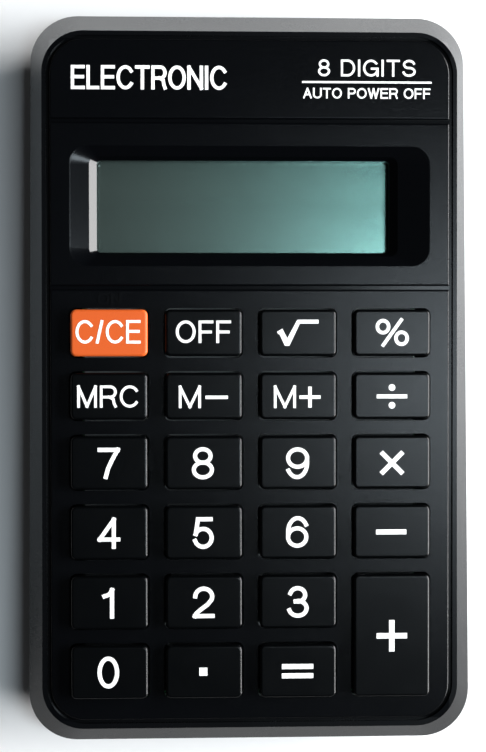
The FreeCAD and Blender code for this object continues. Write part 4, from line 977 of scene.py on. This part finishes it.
class CALCULATOR_OT_solder(bpy.types.Operator):
    """Set the solder joints round the chip"""

    bl_idname = "calculator.solder"
    bl_label = "Solder joints"

    def execute(self, context):
        sizes = context.scene.calculator_sizes
        bright = solder()
        low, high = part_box("chip_cover")
        chip = (low + high) / 2
        board_under = float((points_of("circuit_board") @ np.array(UP)).min())
        v = float(Vector((0, chip.y, chip.z)).dot(ALONG)) - FACE_MIDDLE
        middle = on_face(chip.x, v, board_under)
        turn = (math.atan2(-UP.y, UP.z), 0.0, 0.0)
        reach = max(high.x - low.x, high.y - low.y) / 2 + JOINT_CLEAR
        values = {"Count": sizes.ring_joints, "Reach": reach,
                  "Joint radius": sizes.solder_radius * JOINT_SHARE,
                  "Middle": middle, "Turn": turn, "Finish": bright}
        grow("chip_joints", joint_tree("joints_in_a_ring"), values, "case")
        return {"FINISHED"}


class CALCULATOR_OT_power(bpy.types.Operator):
    """Finish the battery cell, its contacts and its leads"""

    bl_idname = "calculator.power"
    bl_label = "Battery and leads"

    def execute(self, context):
        look = context.scene.calculator_colours
        dress("battery_cell", cell_wrap(look))
        nickel = contact_nickel()
        for node in ("battery_plate", "battery_spring_plate", "battery_spring"):
            dress(node, nickel)
        dress("battery_lead_red", wire_sleeve("lead_red", (0.42, 0.012, 0.010, 1)))
        dress("battery_lead_black", wire_sleeve("lead_black", (0.010, 0.010, 0.011, 1)))
        return {"FINISHED"}


class CALCULATOR_OT_rubber(bpy.types.Operator):
    """Finish the dome sheet, its pills and the feet"""

    bl_idname = "calculator.rubber"
    bl_label = "Rubber parts"

    def execute(self, context):
        dress("dome_sheet", soft_rubber("silicone_sheet", (0.40, 0.41, 0.41, 1), 0.50, 0.6 * MM))
        dress("contact_pills", soft_rubber("carbon_pill", (0.015, 0.015, 0.016, 1), 0.60, 0.3 * MM))
        dress("rubber_feet", foot_rubber())
        return {"FINISHED"}


class CALCULATOR_OT_screws(bpy.types.Operator):
    """Finish the screws"""

    bl_idname = "calculator.screws"
    bl_label = "Screws"

    def execute(self, context):
        steel = screw_steel()
        for node in ("case_screws", "board_screws", "clip_screws"):
            dress(node, steel)
        return {"FINISHED"}


class CALCULATOR_OT_stage(bpy.types.Operator):
    """Set the floor, the lamps and the camera"""

    bl_idname = "calculator.stage"
    bl_label = "Stage"

    def execute(self, context):
        scene = context.scene
        settings = scene.calculator_stage
        make_floor(settings)
        make_lamp("window_lamp", settings.window_power, *WINDOW_LAMP)
        make_lamp("ceiling_lamp", settings.ceiling_power, *CEILING_LAMP)
        world = bpy.data.worlds.new("room")
        world.use_nodes = True
        background = world.node_tree.nodes["Background"]
        background.inputs["Color"].default_value = (0.95, 0.97, 1.0, 1.0)
        background.inputs["Strength"].default_value = settings.room_light
        scene.world = world
        camera = bpy.data.cameras.new("camera")
        camera.lens = settings.lens
        camera.sensor_width = 36.0
        camera.clip_start = 10 * MM
        eye = bpy.data.objects.new("camera", camera)
        eye.location = settings.camera_place
        eye.rotation_euler = settings.camera_turn
        scene.collection.objects.link(eye)
        scene.camera = eye
        scene.view_settings.view_transform = "Standard"
        return {"FINISHED"}


FLOOR_HALF = 1.5
# Each lamp's place, width, height and tint.
WINDOW_LAMP = ((800 * MM, 20 * MM, 330 * MM), 1000 * MM, 360 * MM, (1.0, 1.0, 1.0))
CEILING_LAMP = ((240 * MM, -60 * MM, 600 * MM), 110 * MM, 300 * MM, (0.80, 0.92, 1.0))


def make_floor(settings):
    """A plain pale floor under the feet."""
    half = FLOOR_HALF
    mesh = bpy.data.meshes.new("floor")
    mesh.from_pydata([(-half, -half, 0), (half, -half, 0), (half, half, 0), (-half, half, 0)], [],
                     [(0, 1, 2, 3)])
    finish = Finish("floor_paper")
    fibre = finish.noise(1.5 * MM, detail=3.0)
    tone = finish.mix(fibre, settings.floor, shade(settings.floor, 0.98))
    paper = finish.surface(Base_Color=tone, Roughness=0.9, Normal=finish.bump(fibre, 0.01 * MM))
    mesh.materials.append(paper)
    floor = bpy.data.objects.new("floor", mesh)
    bpy.context.scene.collection.objects.link(floor)


def make_lamp(name, power, place, width, height, tint):
    """A soft rectangular lamp that faces the middle of the case."""
    lamp = bpy.data.lights.new(name, "AREA")
    lamp.shape = "RECTANGLE"
    lamp.size = width
    lamp.size_y = height
    lamp.energy = power
    lamp.color = tint
    thing = bpy.data.objects.new(name, lamp)
    thing.location = place
    thing.rotation_euler = (-Vector(place)).to_track_quat("-Z", "Y").to_euler()
    bpy.context.scene.collection.objects.link(thing)


OPERATORS = (CALCULATOR_OT_case, CALCULATOR_OT_keys, CALCULATOR_OT_legends, CALCULATOR_OT_header,
             CALCULATOR_OT_cover_marks, CALCULATOR_OT_display, CALCULATOR_OT_board, CALCULATOR_OT_solder,
             CALCULATOR_OT_power, CALCULATOR_OT_rubber, CALCULATOR_OT_screws, CALCULATOR_OT_stage)
GROUPS = {"calculator_colours": CalculatorColours, "calculator_sizes": CalculatorSizes,
          "calculator_stage": CalculatorStage}


class CALCULATOR_PT_panel(bpy.types.Panel):
    """Lists the calculator's pieces and settings"""

    bl_idname = "CALCULATOR_PT_panel"
    bl_label = "Calculator"
    bl_space_type = "VIEW_3D"
    bl_region_type = "UI"
    bl_category = "Calculator"

    def draw(self, context):
        for name, group in GROUPS.items():
            box = self.layout.box()
            for entry in group.__annotations__:
                box.prop(getattr(context.scene, name), entry)
        for operator in OPERATORS:
            self.layout.operator(operator.bl_idname)


def register():
    """Makes the settings, operators and panel known."""
    for group in GROUPS.values():
        bpy.utils.register_class(group)
    for operator in OPERATORS:
        bpy.utils.register_class(operator)
    bpy.utils.register_class(CALCULATOR_PT_panel)
    for name, group in GROUPS.items():
        setattr(bpy.types.Scene, name, PointerProperty(type=group))


def unregister():
    """Takes the settings, operators and panel away again."""
    for name in GROUPS:
        delattr(bpy.types.Scene, name)
    bpy.utils.unregister_class(CALCULATOR_PT_panel)
    for operator in reversed(OPERATORS):
        bpy.utils.unregister_class(operator)
    for group in GROUPS.values():
        bpy.utils.unregister_class(group)


def main():
    """Makes every piece in order."""
    register()
    for operator in OPERATORS:
        group, name = operator.bl_idname.split(".")
        getattr(getattr(bpy.ops, group), name)()


if __name__ == "__main__":
    main()
